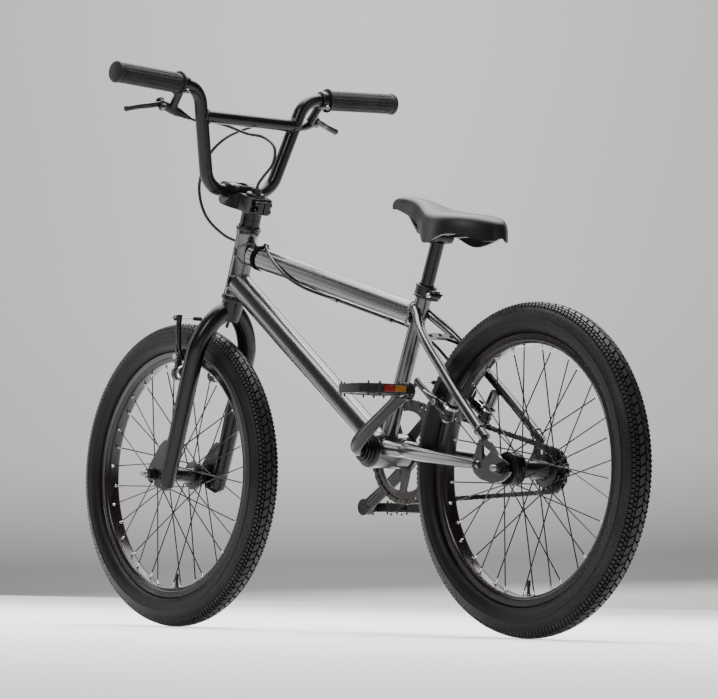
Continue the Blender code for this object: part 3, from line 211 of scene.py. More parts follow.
def solid(points, faces):
    """A closed mesh from points in millimetres."""
    bm = bmesh.new()
    verts = [bm.verts.new(Vector(point) * MM) for point in points]
    for face in faces:
        bm.faces.new([verts[index] for index in face])
    outward(bm)
    return bm


def joined(*parts):
    """The parts in one mesh, without cutting them."""
    whole = bmesh.new()
    for part in parts:
        mesh = bpy.data.meshes.new("joining")
        part.to_mesh(mesh)
        whole.from_mesh(mesh)
        bpy.data.meshes.remove(mesh)
        part.free()
    return whole


def cut(body, *others):
    """body with the others cut from it."""
    for other in others:
        objects = []
        for bm in (body, other):
            mesh = bpy.data.meshes.new("operand")
            bm.to_mesh(mesh)
            bm.free()
            obj = bpy.data.objects.new("operand", mesh)
            bpy.context.scene.collection.objects.link(obj)
            objects.append(obj)
        modifier = objects[0].modifiers.new("cut", "BOOLEAN")
        modifier.object = objects[1]
        modifier.operation = "DIFFERENCE"
        bpy.context.view_layer.update()
        evaluated = objects[0].evaluated_get(bpy.context.evaluated_depsgraph_get())
        body = bmesh.new()
        body.from_mesh(evaluated.to_mesh())
        for obj in objects:
            mesh = obj.data
            bpy.data.objects.remove(obj)
            bpy.data.meshes.remove(mesh)
        bmesh.ops.remove_doubles(body, verts=body.verts, dist=0.001 * MM)
    return body


def frame_of(direction, side=Vector((0, 1, 0))):
    """Three axes: along direction, then two across it, the first as near to side as it can be."""
    along = Vector(direction).normalized()
    first = side - along * side.dot(along)
    if first.length < 1e-6:
        first = Vector((1, 0, 0)) - along * along.x
    first.normalize()
    return along, first, along.cross(first)


def lathe(profile, centre, direction, segments=48, phase=0.0):
    """A closed (along, radius) outline turned about an axis. A radius of 0 is a point on the axis."""
    along, first, second = frame_of(direction)
    points, rows = [], []
    for distance, radius in profile:
        middle = Vector(centre) + along * distance
        if radius < 1e-6:
            rows.append([len(points)] * segments)
            points.append(middle)
            continue
        rows.append(list(range(len(points), len(points) + segments)))
        for step in range(segments):
            angle = phase + math.tau * step / segments
            points.append(middle + (first * math.cos(angle) + second * math.sin(angle)) * radius)
    faces = []
    for row, after in zip(rows, rows[1:] + rows[:1]):
        for step in range(segments):
            turn = (step + 1) % segments
            face = list(dict.fromkeys([row[step], row[turn], after[turn], after[step]]))
            if len(face) > 2:
                faces.append(face)
    return solid(points, faces)


def rod(start, end, radius, sides=32, end_radius=None, chamfer=0.0):
    start, end = Vector(start), Vector(end)
    length = (end - start).length
    last = radius if end_radius is None else end_radius
    profile = [(0, 0), (0, radius - chamfer), (chamfer, radius), (length - chamfer, last), (length, last - chamfer),
               (length, 0)]
    if not chamfer:
        profile = [(0, 0), (0, radius), (length, last), (length, 0)]
    return lathe(profile, start, end - start, sides)


def tangents(points):
    neighbours = zip([points[0], *points[:-1]], [*points[1:], points[-1]])
    return [(after - before).normalized() for before, after in neighbours]


def sweep(points, radii, sides=32, side=Vector((0, 1, 0)), squash=None, looped=False):
    """A bar along the points. squash gives the second radius at each point, for an oval section."""
    points = [Vector(point) for point in points]
    if isinstance(radii, (int, float)):
        radii = [radii] * len(points)
    squash = squash or radii
    ways = tangents(points)
    if looped:
        ways = [(points[(i + 1) % len(points)] - points[i - 1]).normalized() for i in range(len(points))]
    verts, reference = [], side
    for point, direction, wide, tall in zip(points, ways, radii, squash):
        _, first, second = frame_of(direction, reference)
        reference = first
        for step in range(sides):
            angle = math.tau * step / sides
            verts.append(point + first * math.cos(angle) * wide + second * math.sin(angle) * tall)
    faces = [] if looped else [list(range(sides)), list(range(len(verts) - sides, len(verts)))]
    for ring in range(len(points) - (0 if looped else 1)):
        for step in range(sides):
            turn = (step + 1) % sides
            low, high = ring * sides, (ring + 1) % len(points) * sides
            faces.append([low + step, low + turn, high + turn, high + step])
    return solid(verts, faces)


def curved(points, steps=8):
    """A smooth path through the points."""
    points = [Vector(point) for point in points]
    ends = [points[0] * 2 - points[1], *points, points[-1] * 2 - points[-2]]
    path = []
    for a, b, c, d in zip(ends, ends[1:], ends[2:], ends[3:]):
        for step in range(steps):
            t = step / steps
            path.append(0.5 * (2 * b + (c - a) * t + (2 * a - 5 * b + 4 * c - d) * t**2
                               + (3 * b - a - 3 * c + d) * t**3))
    return [*path, points[-1]]


def smooth_numbers(values, steps=8):
    """Numbers eased between those given, to go with curved()."""
    return [point.x for point in curved([(value, 0, 0) for value in values], steps)]


def filleted(points, radius, steps=12):
    """The polyline with each corner rounded to a radius."""
    points = [Vector(point) for point in points]
    path = [points[0]]
    for before, corner, after in zip(points, points[1:], points[2:]):
        back, on = (before - corner).normalized(), (after - corner).normalized()
        half = back.angle(on) / 2
        reach = radius / math.tan(half)
        middle = corner + (back + on).normalized() * radius / math.sin(half)
        start, end = corner + back * reach - middle, corner + on * reach - middle
        turn = start.angle(end)
        for step in range(steps + 1):
            t = step / steps
            weights = math.sin((1 - t) * turn) / math.sin(turn), math.sin(t * turn) / math.sin(turn)
            path.append(middle + start * weights[0] + end * weights[1])
    return [*path, points[-1]]


def plate(outline, low, high, place):
    """A flat outline given thickness. place turns (u, v, w) into a point, with w from low to high."""
    count = len(outline)
    verts = [place(u, v, w) for w in (low, high) for u, v in outline]
    faces = [list(range(count)), list(range(count, 2 * count))]
    faces += [[i, (i + 1) % count, count + (i + 1) % count, count + i] for i in range(count)]
    return solid(verts, faces)


def rounded(outline, radius, steps=4):
    """A closed flat outline with its corners rounded, each as far as its sides allow."""
    result = []
    count = len(outline)
    for index in range(count):
        before, corner, after = (Vector((*outline[k % count], 0)) for k in (index - 1, index, index + 1))
        back, on = before - corner, after - corner
        reach = min(radius, back.length * 0.45, on.length * 0.45)
        first, last = corner + back.normalized() * reach, corner + on.normalized() * reach
        for step in range(steps + 1):
            t = step / steps
            point = first * (1 - t) ** 2 + corner * 2 * t * (1 - t) + last * t**2
            result.append((point.x, point.y))
    return result


def box(centre, size, turn=None):
    matrix = turn or Matrix.Identity(3)
    half = Vector(size) / 2
    corners = [(x, y, z) for x in (-1, 1) for y in (-1, 1) for z in (-1, 1)]
    verts = [Vector(centre) + matrix @ Vector((x * half.x, y * half.y, z * half.z)) for x, y, z in corners]
    faces = [(0, 1, 3, 2), (4, 6, 7, 5), (0, 4, 5, 1), (2, 3, 7, 6), (0, 2, 6, 4), (1, 5, 7, 3)]
    return solid(verts, faces)


def hexagon_bolt(centre, direction, across_r, height):
    """A bolt's head with a round flange and a socket-like cone on top."""
    return lathe([(0, 0), (0, across_r), (height * 0.75, across_r), (height, across_r * 0.8), (height, across_r * 0.45),
                  (height * 0.4, across_r * 0.4), (height * 0.4, 0)], centre, direction, 24)


def sided(side, points):
    return [Vector((point[0], point[1] * side, point[2])) for point in points]


def piece(name, bm, material, body, slot, *replaced, bevel=0.0, smooth_angle=35.0, subdivide=0):
    """One visual piece on its CAD body. bevel is the width of its rounded edges in millimetres."""
    outward(bm)
    mesh = bpy.data.meshes.new(name)
    bm.to_mesh(mesh)
    bm.free()
    mesh.shade_smooth()
    mesh.set_sharp_from_angle(angle=math.radians(smooth_angle))
    mesh.materials.append(material)
    obj = bpy.data.objects.new(name, mesh)
    bpy.context.scene.collection.objects.link(obj)
    if bevel:
        edges = obj.modifiers.new("bevel", "BEVEL")
        edges.width = bevel * MM
        edges.segments = 2
        edges.limit_method = "ANGLE"
        edges.angle_limit = math.radians(30)
        edges.harden_normals = True
    if subdivide:
        finer = obj.modifiers.new("subdivide", "SUBSURF")
        finer.levels = subdivide
        finer.render_levels = subdivide
    if body:
        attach(obj, body)
    if replaced:
        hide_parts(*replaced)
    return obj


def weld_line(start, way, radius, centre, across, other_radius, bead=1.9):
    """The seam where a tube from start along way meets a round tube through centre along across."""
    along, first, second = frame_of(way)
    across = Vector(across).normalized()
    steps = int(math.tau * radius / 1.1)
    points = []
    for step in range(steps):
        angle = math.tau * step / steps
        point = Vector(start) + (first * math.cos(angle) + second * math.sin(angle)) * radius
        offset = point - Vector(centre)
        flat_way = along - across * along.dot(across)
        flat_offset = offset - across * offset.dot(across)
        a = flat_way.length_squared
        b = flat_way.dot(flat_offset)
        c = flat_offset.length_squared - other_radius**2
        points.append(point + along * ((-b - math.sqrt(max(0.0, b * b - a * c))) / a))
    radii = [bead * (1.0 + 0.16 * math.cos(math.tau * step / 3)) for step in range(steps)]
    return sweep(points, radii, 10, looped=True)


# ---- frame ---------------------------------------------------------------------------------------
TOP_FRONT, TOP_REAR = Vector((262.0, 0, 623.8)), Vector((-176.0, 0, 505.2))
DOWN_FRONT, DOWN_REAR = Vector((300.0, 0, 581.0)), Vector((-101.5, 0, 292.0))
CHAINSTAY = ((-118, 18, 296), (-140, 23, 294), (-162, 25.5, 291), (-183, 28.2, 288.7), (-212, 38.5, 285.5),
             (-252, 45, 281), (-322, 51.5, 273), (-388, 56.5, 265.5), (-402, 57.6, 264))
CHAINSTAY_R = (13, 12.5, 11.8, 11.4, 10.9, 10.5, 9.5, 7.8, 6.2)
SEATSTAY = ((-181, 11, 514), (-196, 17.5, 500.5), (-222, 32, 477), (-252, 40.5, 450), (-288, 45.5, 417.5),
            (-326, 51, 383), (-353, 54.5, 358.8), (-398, 57.5, 318), (-412, 57.5, 305.4))
DROPOUT = ((-386, 273), (-399, 303), (-410, 309), (-424, 300), (-436, 287), (-448, 275), (-466, 268), (-474, 258),
           (-470, 246), (-456, 238), (-432, 236), (-404, 242), (-386, 254))
REAR_PIVOT = pivot_of("rear_brake_arm_left_close")
REAR_POST = way_of("rear_brake_arm_left_close")
FRONT_PIVOT = pivot_of("front_brake_arm_left_close")
FRONT_POST = way_of("front_brake_arm_left_close")
POST_R = 4.0


def build_frame_tubes():
    rings = ((HEAD_LOW, HEAD_LOW + 7), (HEAD_TOP - 7, HEAD_TOP))
    profile = [(HEAD_LOW, 14.8), (HEAD_LOW, HEAD_R + 0.6), (HEAD_LOW + 1, HEAD_R + 1.1), (rings[0][1], HEAD_R + 1.1),
               (rings[0][1] + 2.5, HEAD_R), (rings[1][0] - 2.5, HEAD_R), (rings[1][0], HEAD_R + 1.1),
               (HEAD_TOP - 1, HEAD_R + 1.1), (HEAD_TOP, HEAD_R + 0.6), (HEAD_TOP, 14.8)]
    piece("head_tube_fine", lathe(profile, HEAD_POINT, HEAD_UP, 64), FRAME_PAINT, "frame", "frame_paint", "head_tube")

    top_way, down_way = (TOP_REAR - TOP_FRONT).normalized(), (DOWN_REAR - DOWN_FRONT).normalized()
    top = rod(TOP_FRONT + top_way * 6, TOP_REAR - top_way * 2, TOP_TUBE_R, 64)
    piece("top_tube_fine", top, FRAME_PAINT, "frame", "frame_paint", "top_tube")
    down = rod(DOWN_FRONT + down_way * 6, DOWN_REAR - down_way * 12, DOWN_TUBE_R, 64)
    piece("down_tube_fine", down, FRAME_PAINT, "frame", "frame_paint", "down_tube")
    tube = lathe([(20, 0), (20, SEAT_TUBE_R), (SEAT_TUBE_TOP - 0.6, SEAT_TUBE_R), (SEAT_TUBE_TOP, SEAT_TUBE_R - 0.6),
                  (SEAT_TUBE_TOP, SEAT_POST_R + 0.15), (SEAT_TUBE_TOP - 8, SEAT_POST_R + 0.15),
                  (SEAT_TUBE_TOP - 8, 0)], SEAT_BASE, SEAT_UP, 64)
    piece("seat_tube_fine", tube, FRAME_PAINT, "frame", "frame_paint", "seat_tube")
    shell = lathe([(-BB_HALF, 25.8), (-BB_HALF, BB_SHELL_R - 0.8), (-BB_HALF + 0.8, BB_SHELL_R),
                   (BB_HALF - 0.8, BB_SHELL_R), (BB_HALF, BB_SHELL_R - 0.8), (BB_HALF, 25.8)], BB_CENTRE, (0, 1, 0), 80)
    piece("bottom_bracket_shell_fine", shell, FRAME_PAINT, "frame", "frame_paint", "bottom_bracket_shell")

    sideways = Vector((0, 1, 0))
    seat_middle = seat(0)
    seams = joined(
        weld_line(TOP_FRONT - top_way * -30, -top_way, TOP_TUBE_R, HEAD_POINT, HEAD_UP, HEAD_R),
        weld_line(DOWN_FRONT + down_way * 30, -down_way, DOWN_TUBE_R, HEAD_POINT, HEAD_UP, HEAD_R),
        weld_line(TOP_REAR - top_way * 40, top_way, TOP_TUBE_R, seat_middle, SEAT_UP, SEAT_TUBE_R + 6.2),
        weld_line(DOWN_REAR - down_way * 60, down_way, DOWN_TUBE_R, BB_CENTRE, sideways, BB_SHELL_R),
        weld_line(seat(80), -SEAT_UP, SEAT_TUBE_R, BB_CENTRE, sideways, BB_SHELL_R))
    piece("frame_weld_beads", seams, WELD, "frame", "frame_paint")


def build_stays():
    for side, name in LEFT_AND_RIGHT:
        low, high = (55.3, 60.3) if side == 1 else (-60.3, -55.3)
        stay = sweep(curved(sided(side, CHAINSTAY)), smooth_numbers(CHAINSTAY_R), 40)
        outline = rounded(DROPOUT, 7)
        flat = plate(outline, low, high, lambda u, v, w: (u, w, v))
        hole = plate(rounded([(-407, 295), (-427, 284), (-408, 271)], 1.5), low - 3, high + 3,
                     lambda u, v, w: (u, w, v))
        slot = joined(rod((-452.5, 45 * side, 258), (-452.5, 70 * side, 258), 5.3, 24))
        flat = cut(flat, hole, slot, box((-468, 58 * side, 258), (31, 14, 10.4)))
        piece(f"dropout_{name}_fine", flat, FRAME_PAINT, "frame", "frame_paint", bevel=0.6)
        piece(f"chainstay_{name}_fine", stay, FRAME_PAINT, "frame", "frame_paint", f"chainstay_{name}")
        upper = sweep(curved(sided(side, SEATSTAY)), STAY_R, 40)
        piece(f"seatstay_{name}_fine", upper, FRAME_PAINT, "frame", "frame_paint", f"seatstay_{name}")
        post = brake_post(REAR_PIVOT, REAR_POST, side, 40.0)
        piece(f"rear_brake_post_{name}", post, FRAME_PAINT, "frame", "frame_paint")
        ends = joined(
            sweep([Vector((-181 + 1.5 * math.cos(a), (13 + 6 * math.sin(a)) * side, 514 + 8 * math.cos(a)))
                   for a in [math.tau * k / 40 for k in range(40)]], 1.7, 8, looped=True),
            ring_bead((-125, 19.5 * side, 295.5), (-22, 5 * side, -2), 13.4),
            ring_bead((-392, 57.2 * side, 265), (-66, 5 * side, -7), 8.2),
            ring_bead((-398, 57.5 * side, 318), (-14, 0, -12.6), 8.6))
        piece(f"stay_weld_beads_{name}", ends, WELD, "frame", "frame_paint")

    arch = [(-36.5, 452), (-36.5, 470), (-20, 478), (0, 480.5), (20, 478), (36.5, 470), (36.5, 452), (24, 462),
            (10, 468), (-10, 468), (-24, 462)]
    along, normal = Vector((0.743, 0, 0.669)), Vector((-0.669, 0, 0.743))
    bridge = plate(rounded(arch, 5), -2.5, 2.5,
                   lambda u, v, w: Vector((-232, u, 468)) + along * (v - 471) + normal * w)
    for left in (-21, 0, 21):
        centre = Vector((-232, left, 468)) + along * (3.2 - abs(left) * 0.14)
        bridge = cut(bridge, rod(centre - normal * 8, centre + normal * 8, 3.4, 20))
    # The bridge is drawn in black paint though its slot is the frame's paint: painted shade standing for a frame-grey
    # plate in shadow.
    piece("seatstay_bridge", bridge, BLACK_PAINT, "frame", "frame_paint", bevel=0.5)


def ring_bead(centre, way, radius, bead=1.7):
    """A weld bead round a tube."""
    _, first, second = frame_of(way)
    steps = int(math.tau * radius / 1.1)
    turns = [math.tau * k / steps for k in range(steps)]
    points = [Vector(centre) + (first * math.cos(turn) + second * math.sin(turn)) * radius for turn in turns]
    radii = [bead * (1.0 + 0.16 * math.cos(math.tau * k / 3)) for k in range(steps)]
    return sweep(points, radii, 8, looped=True)


def brake_post(pivot, direction, side, back):
    centre = Vector((pivot.x, pivot.y * side, pivot.z))
    base = centre - direction * (ARM_WIDTH / 2 + 1.0)
    return joined(rod(centre - direction * back, base, 8.0, 32, chamfer=0.8),
                  rod(base - direction * 3, centre + direction * (ARM_WIDTH / 2 + 1.0), POST_R, 24))


def build_headset():
    upper = [(56.3, 14.8), (56.3, 20.6), (57.2, 21.2), (61.6, 21.2), (62.4, 20.2), (62.8, 19.0), (66.2, 18.2),
             (66.4, 17.2), (66.4, 14.8)]
    lower = [(-57.3, 14.8), (-57.3, 20.6), (-58.2, 21.2), (-62.4, 21.2), (-63.2, 20.0), (-66.2, 19.0), (-66.2, 14.8)]
    for name, profile in (("upper", upper), ("lower", lower)):
        ring = lathe(profile, HEAD_POINT, HEAD_UP, 64)
        piece(f"headset_{name}_fine", ring, BLACK_STEEL, "frame", "black_steel", f"headset_bearing_{name}")
    spacer = [(66.6, 14.6), (66.6, 17), (76.6, 17), (76.9, 16.5), (77.2, 17), (87.6, 17), (87.6, 14.6)]
    piece("headset_spacer_fine", lathe(spacer, HEAD_POINT, HEAD_UP, 64), BLACK_PAINT, "steering", "black_alloy",
          "headset_spacer")


# ---- fork ----------------------------------------------------------------------------------------
FORK_LEG = ((-74, 3), (-82, 7), (-92, 19), (-107, 32.5), (-124, 43), (-142, 50), (-165, 53.5), (-250, 54), (-330, 54),
            (-389, 54), (-394, 54))
FORK_LEG_R = (13, 14.6, 15.7, 15.8, 15.8, 15.8, 15.8, 15.2, 14.0, 12.6, 10.5)
FORK_DROPOUT = ((414, 318), (432, 308), (447, 290), (462, 273), (469.5, 259), (465, 246), (452.5, 241), (436, 235),
                (416, 227), (403, 235), (404, 300))


def build_fork():
    steerer = lathe([(-100, 0), (-100, 16), (-84, 18.3), (-66.6, 18.4), (-66.6, STEERER_R), (STEM_TOP - 3, STEERER_R),
                     (STEM_TOP - 3, 9.5), (60, 9.5), (60, 0)], HEAD_POINT, HEAD_UP, 64)
    parts = [steerer]
    for side in (1, -1):
        leg = [head(along, 3.0, left * side) for along, left in FORK_LEG]
        parts.append(sweep(curved(leg), smooth_numbers(FORK_LEG_R), 48, side=HEAD_FORWARD))
        parts.append(brake_post(FRONT_PIVOT, FRONT_POST, side, 46.0))
    piece("fork_fine", joined(*parts), BLACK_PAINT, "steering", "black_paint", "fork")
    for side, name in LEFT_AND_RIGHT:
        low, high = (50.8, 56.8) if side == 1 else (-56.8, -50.8)
        flat = plate(rounded(FORK_DROPOUT, 8), low, high, lambda u, v, w: (u, w, v))
        flat = cut(flat, rod((452.5, 45 * side, 258), (452.5, 62 * side, 258), 5.3, 24),
                   box((452.5, 54 * side, 240), (10.4, 12, 38)))
        piece(f"fork_dropout_{name}", flat, BLACK_PAINT, "steering", "black_paint", bevel=0.8)


# ---- stem and handlebar ---------------------------------------------------------------------------
def in_head(u, v, w):
    return head(v, u, w)


def head_turn():
    return Matrix((HEAD_FORWARD, (0, 1, 0), HEAD_UP)).transposed()


def build_stem():
    half = STEM_HALF_WIDTH
    side_view = [(-21, 90), (-16, 88), (16, 88), (56, 87), (64, 92), (65, STEM_PARTING - 0.5), (24, STEM_PARTING - 0.5),
                 (20, STEM_TOP), (-17, STEM_TOP), (-21, STEM_TOP - 4)]
    stem = plate(rounded(side_view, 4), -half, half, in_head)
    for side in (1, -1):
        trim = [(-30, 28.5), (-30, 20), (-18, 21), (14, 21.5), (30, 28.5)]
        cutter = plate([(u, side * w) for u, w in trim], 80, 125, lambda u, v, w: head(w, u, v))
        stem = cut(stem, cutter)
    stem = cut(stem, rod(head(STEM_PARTING, BAR_FORWARD, -60), head(STEM_PARTING, BAR_FORWARD, 60), BAR_R + 0.15, 48))
    piece("stem_fine", stem, BLACK_ALLOY, "steering", "black_alloy", "stem", bevel=0.9)
    ears = cut(box(head(101, -24.5), (11, 24, 22), head_turn()), box(head(101, -27), (12, 1.8, 40), head_turn()))
    piece("stem_pinch_ears", ears, BLACK_ALLOY, "steering", "black_alloy", bevel=1.2)
    bolts = []
    for along in (95.5, 107.5):
        for side in (1, -1):
            bolts.append(hexagon_bolt(head(along, -25.5, 12 * side), (0, side, 0), 4.4, 4.6))
    for left in (-17, 17):
        for forward in (BAR_FORWARD - 17, BAR_FORWARD + 17):
            bolts.append(hexagon_bolt(head(STEM_PARTING + 5, forward, left), HEAD_UP, 4.5, 7.5))
    piece("stem_bolts", joined(*bolts), BLACK_STEEL, "steering", "black_steel")
    cap_view = [(28, 0.5), (71, 0.5), (71, 5), (63, 14), (54, 15.5), (44, 15.5), (35, 14), (28, 5)]
    cap = plate(rounded([(u, STEM_PARTING + v) for u, v in cap_view], 3), -half, half, in_head)
    cap = cut(cap, rod(head(STEM_PARTING, BAR_FORWARD, -60), head(STEM_PARTING, BAR_FORWARD, 60), BAR_R + 0.15, 48),
              box(head(STEM_PARTING + 16, BAR_FORWARD), (26, 20, 8), head_turn()))
    piece("stem_cap_fine", cap, BLACK_ALLOY, "steering", "black_alloy", "stem_cap", bevel=0.8)
    top = lathe([(STEM_TOP - 2, 0), (STEM_TOP - 2, 16.5), (STEM_TOP + 3.5, 16.2), (STEM_TOP + 5.2, 14.8),
                 (STEM_TOP + 6, 10.5), (STEM_TOP + 6, 8.9), (STEM_TOP + 13, 8.5), (STEM_TOP + 14, 7.6),
                 (STEM_TOP + 14, 4.5), (STEM_TOP + 6, 4.5), (STEM_TOP + 6, 0)], HEAD_POINT, HEAD_UP, 48)
    piece("stem_top_bolt", top, BLACK_ALLOY, "steering", "black_alloy")


BAR_FOOT = 64.8
RISER_SPREAD = 0.274
BAR_BEND_R = 40.0
CROSSBAR_UP = 121.0
GRIP_START = 154.8
GRIP_END = 293.7
BAR_END = 289.0


def grip_axis(side):
    start = bar_point(GRIP_START * side, 170.0)
    end = bar_point(GRIP_END * side, 175.6, 9.3)
    return start, (end - start).normalized()


def build_bar():
    line = []
    for side in (-1, 1):
        start, along = grip_axis(side)
        knee = start - along * 43.5
        end = start + along * (BAR_END - GRIP_START)
        half = [end, knee, bar_point(BAR_FOOT * side, 0), bar_point(0, 0)]
        line.append(half if side == -1 else half[::-1][1:])
    path = filleted([*line[0][:3], *line[1]], BAR_BEND_R)
    rise = BAR_FOOT + CROSSBAR_UP * RISER_SPREAD
    ends = [bar_point(-rise, CROSSBAR_UP), bar_point(rise, CROSSBAR_UP)]
    bar = joined(sweep(path, BAR_R, 40, side=Vector((1, 0, 0))), rod(*ends, 11.0, 40))
    piece("handlebar_fine", bar, BLACK_PAINT, "steering", "black_paint", "handlebar")
    riser = [bar_point((BAR_FOOT + RISER_SPREAD * 60) * 1, 60), bar_point(BAR_FOOT + RISER_SPREAD * 160, 160)]
    seams = []
    for side in (1, -1):
        low, high = sided(side, riser)
        seams.append(weld_line(bar_point(rise * side * 0.5, CROSSBAR_UP), (0, side, 0), 11.0, low, high - low,
                               BAR_R, 1.7))
    piece("handlebar_weld_beads", joined(*seams), BLACK_PAINT, "steering", "black_paint")


def build_grips():
    length = GRIP_END - GRIP_START
    for side, name in LEFT_AND_RIGHT:
        start, along = grip_axis(side)
        profile = [(0.2, BAR_R + 0.1), (0.2, 19.8), (0.9, 20.5), (3.2, 20.5), (4.0, 19.8), (4.2, 16.8), (7, 16.3)]
        rib, ribs_end = 10.0, length - 12.0
        while rib < ribs_end:
            profile += [(rib, 15.9), (rib + 0.6, 16.9), (rib + 2.6, 16.9), (rib + 3.2, 15.9)]
            rib += 4.0
        profile += [(length - 7, 16.4), (length - 5.5, 18.2), (length - 2, 18.2), (length - 0.5, 17.2),
                    (length + 0.9, 14), (length + 1, 0), (length - 3, 0), (length - 3, BAR_R + 0.1)]
        grip = lathe(profile, start, along, 56)
        count = 14
        for vert in grip.verts:
            offset = vert.co / MM - start
            distance = offset.dot(along)
            across = offset - along * distance
            if 9.0 < distance < length - 11 and across.length > 16.5:
                _, first, second = frame_of(along)
                angle = math.atan2(across.dot(second), across.dot(first))
                if math.cos(count * angle) < -0.55:
                    vert.co -= across.normalized() * 0.8 * MM
        piece(f"grip_{name}_fine", grip, GRIP, "steering", "grip_rubber", f"grip_{name}", smooth_angle=28)


# ---- brake levers ----------------------------------------------------------------------------------
LEVER_PIVOT = pivot_of("brake_lever_left_pull")
LEVER_KNEE = Vector((311.7, 182.1, 863.1))
LEVER_TIP = Vector((324.5, 222.0, 855.0))
CABLE_EXIT = Vector((296.0, 121.0, 850.0))


def build_levers():
    for side, name in LEFT_AND_RIGHT:
        pivot, knee, tip, cable_end = sided(side, (LEVER_PIVOT, LEVER_KNEE, LEVER_TIP, CABLE_EXIT))
        start, along = grip_axis(side)
        axis = way_of(f"brake_lever_{name}_pull") * side
        low, high = start - along * 13.3, start - along * 0.8
        middle = (low + high) / 2
        way = (pivot - cable_end).normalized()
        clamp = lathe([(0, BAR_R), (0, 14.8), (0.8, 15.5), (11.7, 15.5), (12.5, 14.8), (12.5, BAR_R)], low, along, 48)
        towards = (pivot * 0.55 + cable_end * 0.45) - middle
        arm = sweep(curved([middle + towards * 0.15, middle + towards * 0.6, middle + towards * 1.02]),
                    smooth_numbers([6.8, 6.3, 7.2]), 24, squash=smooth_numbers([8.5, 7.5, 8.5]))
        barrel = sweep(curved([cable_end, cable_end + way * 8, cable_end + way * 22, pivot + way * 3]),
                       smooth_numbers([4.4, 6.6, 8.8, 7.6]), 24)
        reach = (tip - pivot).normalized()
        cheek_one = rod(pivot + axis * 4.9, pivot + axis * 9.2, 7.6, 28, chamfer=0.6)
        cheek_two = rod(pivot - axis * 9.2, pivot - axis * 4.9, 7.6, 28, chamfer=0.6)
        whole = joined(clamp, arm, cheek_one, cheek_two, barrel)
        piece(f"lever_bracket_{name}_fine", whole, BLACK_ALLOY, "steering", "black_alloy", f"lever_bracket_{name}")
        adjuster = lathe([(-9, 0), (-9, 3.2), (-8.4, 3.6), (-3, 3.6), (-2.4, 5.2), (1.4, 5.2), (2, 4.6), (2, 0)],
                         cable_end, way, 18)
        pin = joined(hexagon_bolt(pivot + axis * 9.0, axis, 3.6, 2.2),
                     hexagon_bolt(pivot - axis * 9.0, -axis, 3.6, 2.2),
                     hexagon_bolt(middle + Vector((-11.5, 0, -11.5)), (-0.7, 0, -0.7), 4.0, 5.0))
        piece(f"lever_adjuster_{name}", adjuster, BLACK_ALLOY, "steering", "black_alloy")
        piece(f"lever_bolts_{name}", pin, ZINC, "steering", "black_steel")

        blade = [pivot - reach * 1, knee, knee * 0.6 + tip * 0.4 + Vector((2.5, 0, 0.5)), tip * 0.85 + knee * 0.15,
                 tip, tip + reach * 2.5]
        lever = sweep(curved(blade), smooth_numbers([4.2, 4.1, 3.9, 4.2, 5.0, 2.5]), 24, side=axis,
                      squash=smooth_numbers([6.2, 5.6, 5.4, 5.4, 5.6, 3.0]))
        hub = rod(pivot - axis * 4.5, pivot + axis * 4.5, 6.8, 32, chamfer=0.5)
        piece(f"brake_lever_{name}_fine", joined(lever, hub), BLACK_ALLOY, f"brake_lever_{name}", "black_alloy",
              f"brake_lever_{name}")


# ---- wheels ----------------------------------------------------------------------------------------
CENTRE_BLOCKS = 104
FRONT_HUB = ((-46, 5.6), (-46, 8.4), (-45.4, 9), (-40, 9), (-39, 13.5), (-31.5, 13.5), (-30.2, 23.2), (-29.4, 24),
             (-27.2, 24), (-26.4, 23.2), (-25, 14.5), (-20, 12.5), (0, 11.5), (20, 12.5), (25, 14.5), (26.4, 23.2),
             (27.2, 24), (29.4, 24), (30.2, 23.2), (31.5, 13.5), (39, 13.5), (40, 9), (45.4, 9), (46, 8.4), (46, 5.6))
REAR_HUB = ((-52, 5.6), (-52, 9), (-49, 9), (-49, 15.6), (-32, 15.6), (-30.8, 25.2), (-30, 26), (-27.6, 26),
            (-26.8, 25.2), (-25, 16), (-18, 14.2), (0, 13.5), (18, 14), (28, 15.5), (29.6, 25.2), (30.4, 26),
            (32.6, 26), (33.2, 25.2), (34.5, 17), (42, 17), (43, 10), (50, 10), (50, 5.6))


def tyre_profile():
    """The carcass, from the left bead over the crown to the right one, then back inside."""
    half = [(12.3, 204.0), (12.6, 209.8), (15.8, 210.6), (18.6, 211.8), (21.4, 214.2), (23.8, 218.0), (25.6, 222.6),
            (26.5, 227.6), (26.5, 230.8), (27.0, 231.6), (27.0, 232.4), (26.2, 233.2), (25.6, 235.6), (24.2, 239.4),
            (22.0, 243.4), (19.0, 247.0), (15.4, 250.0), (11.0, 252.6), (6.0, 254.6), (0.0, 255.2)]
    inner = [(0.0, 251.0), (9.0, 249.5), (16.0, 244.8), (21.0, 237.0), (23.2, 228.5), (20.0, 217.5), (9.6, 210.0),
             (9.6, 204.0)]
    right = [(-y, r) for y, r in half[-2::-1]]
    inner_right = [(-y, r) for y, r in inner[:0:-1]]
    return [*half, *right, *inner_right, *inner]


def crown_radius(y):
    """How far the tread's face is from the axle at a distance y from the middle."""
    return TYRE_R - 0.15 - 7.4 * (abs(y) / 19.5) ** 2.3


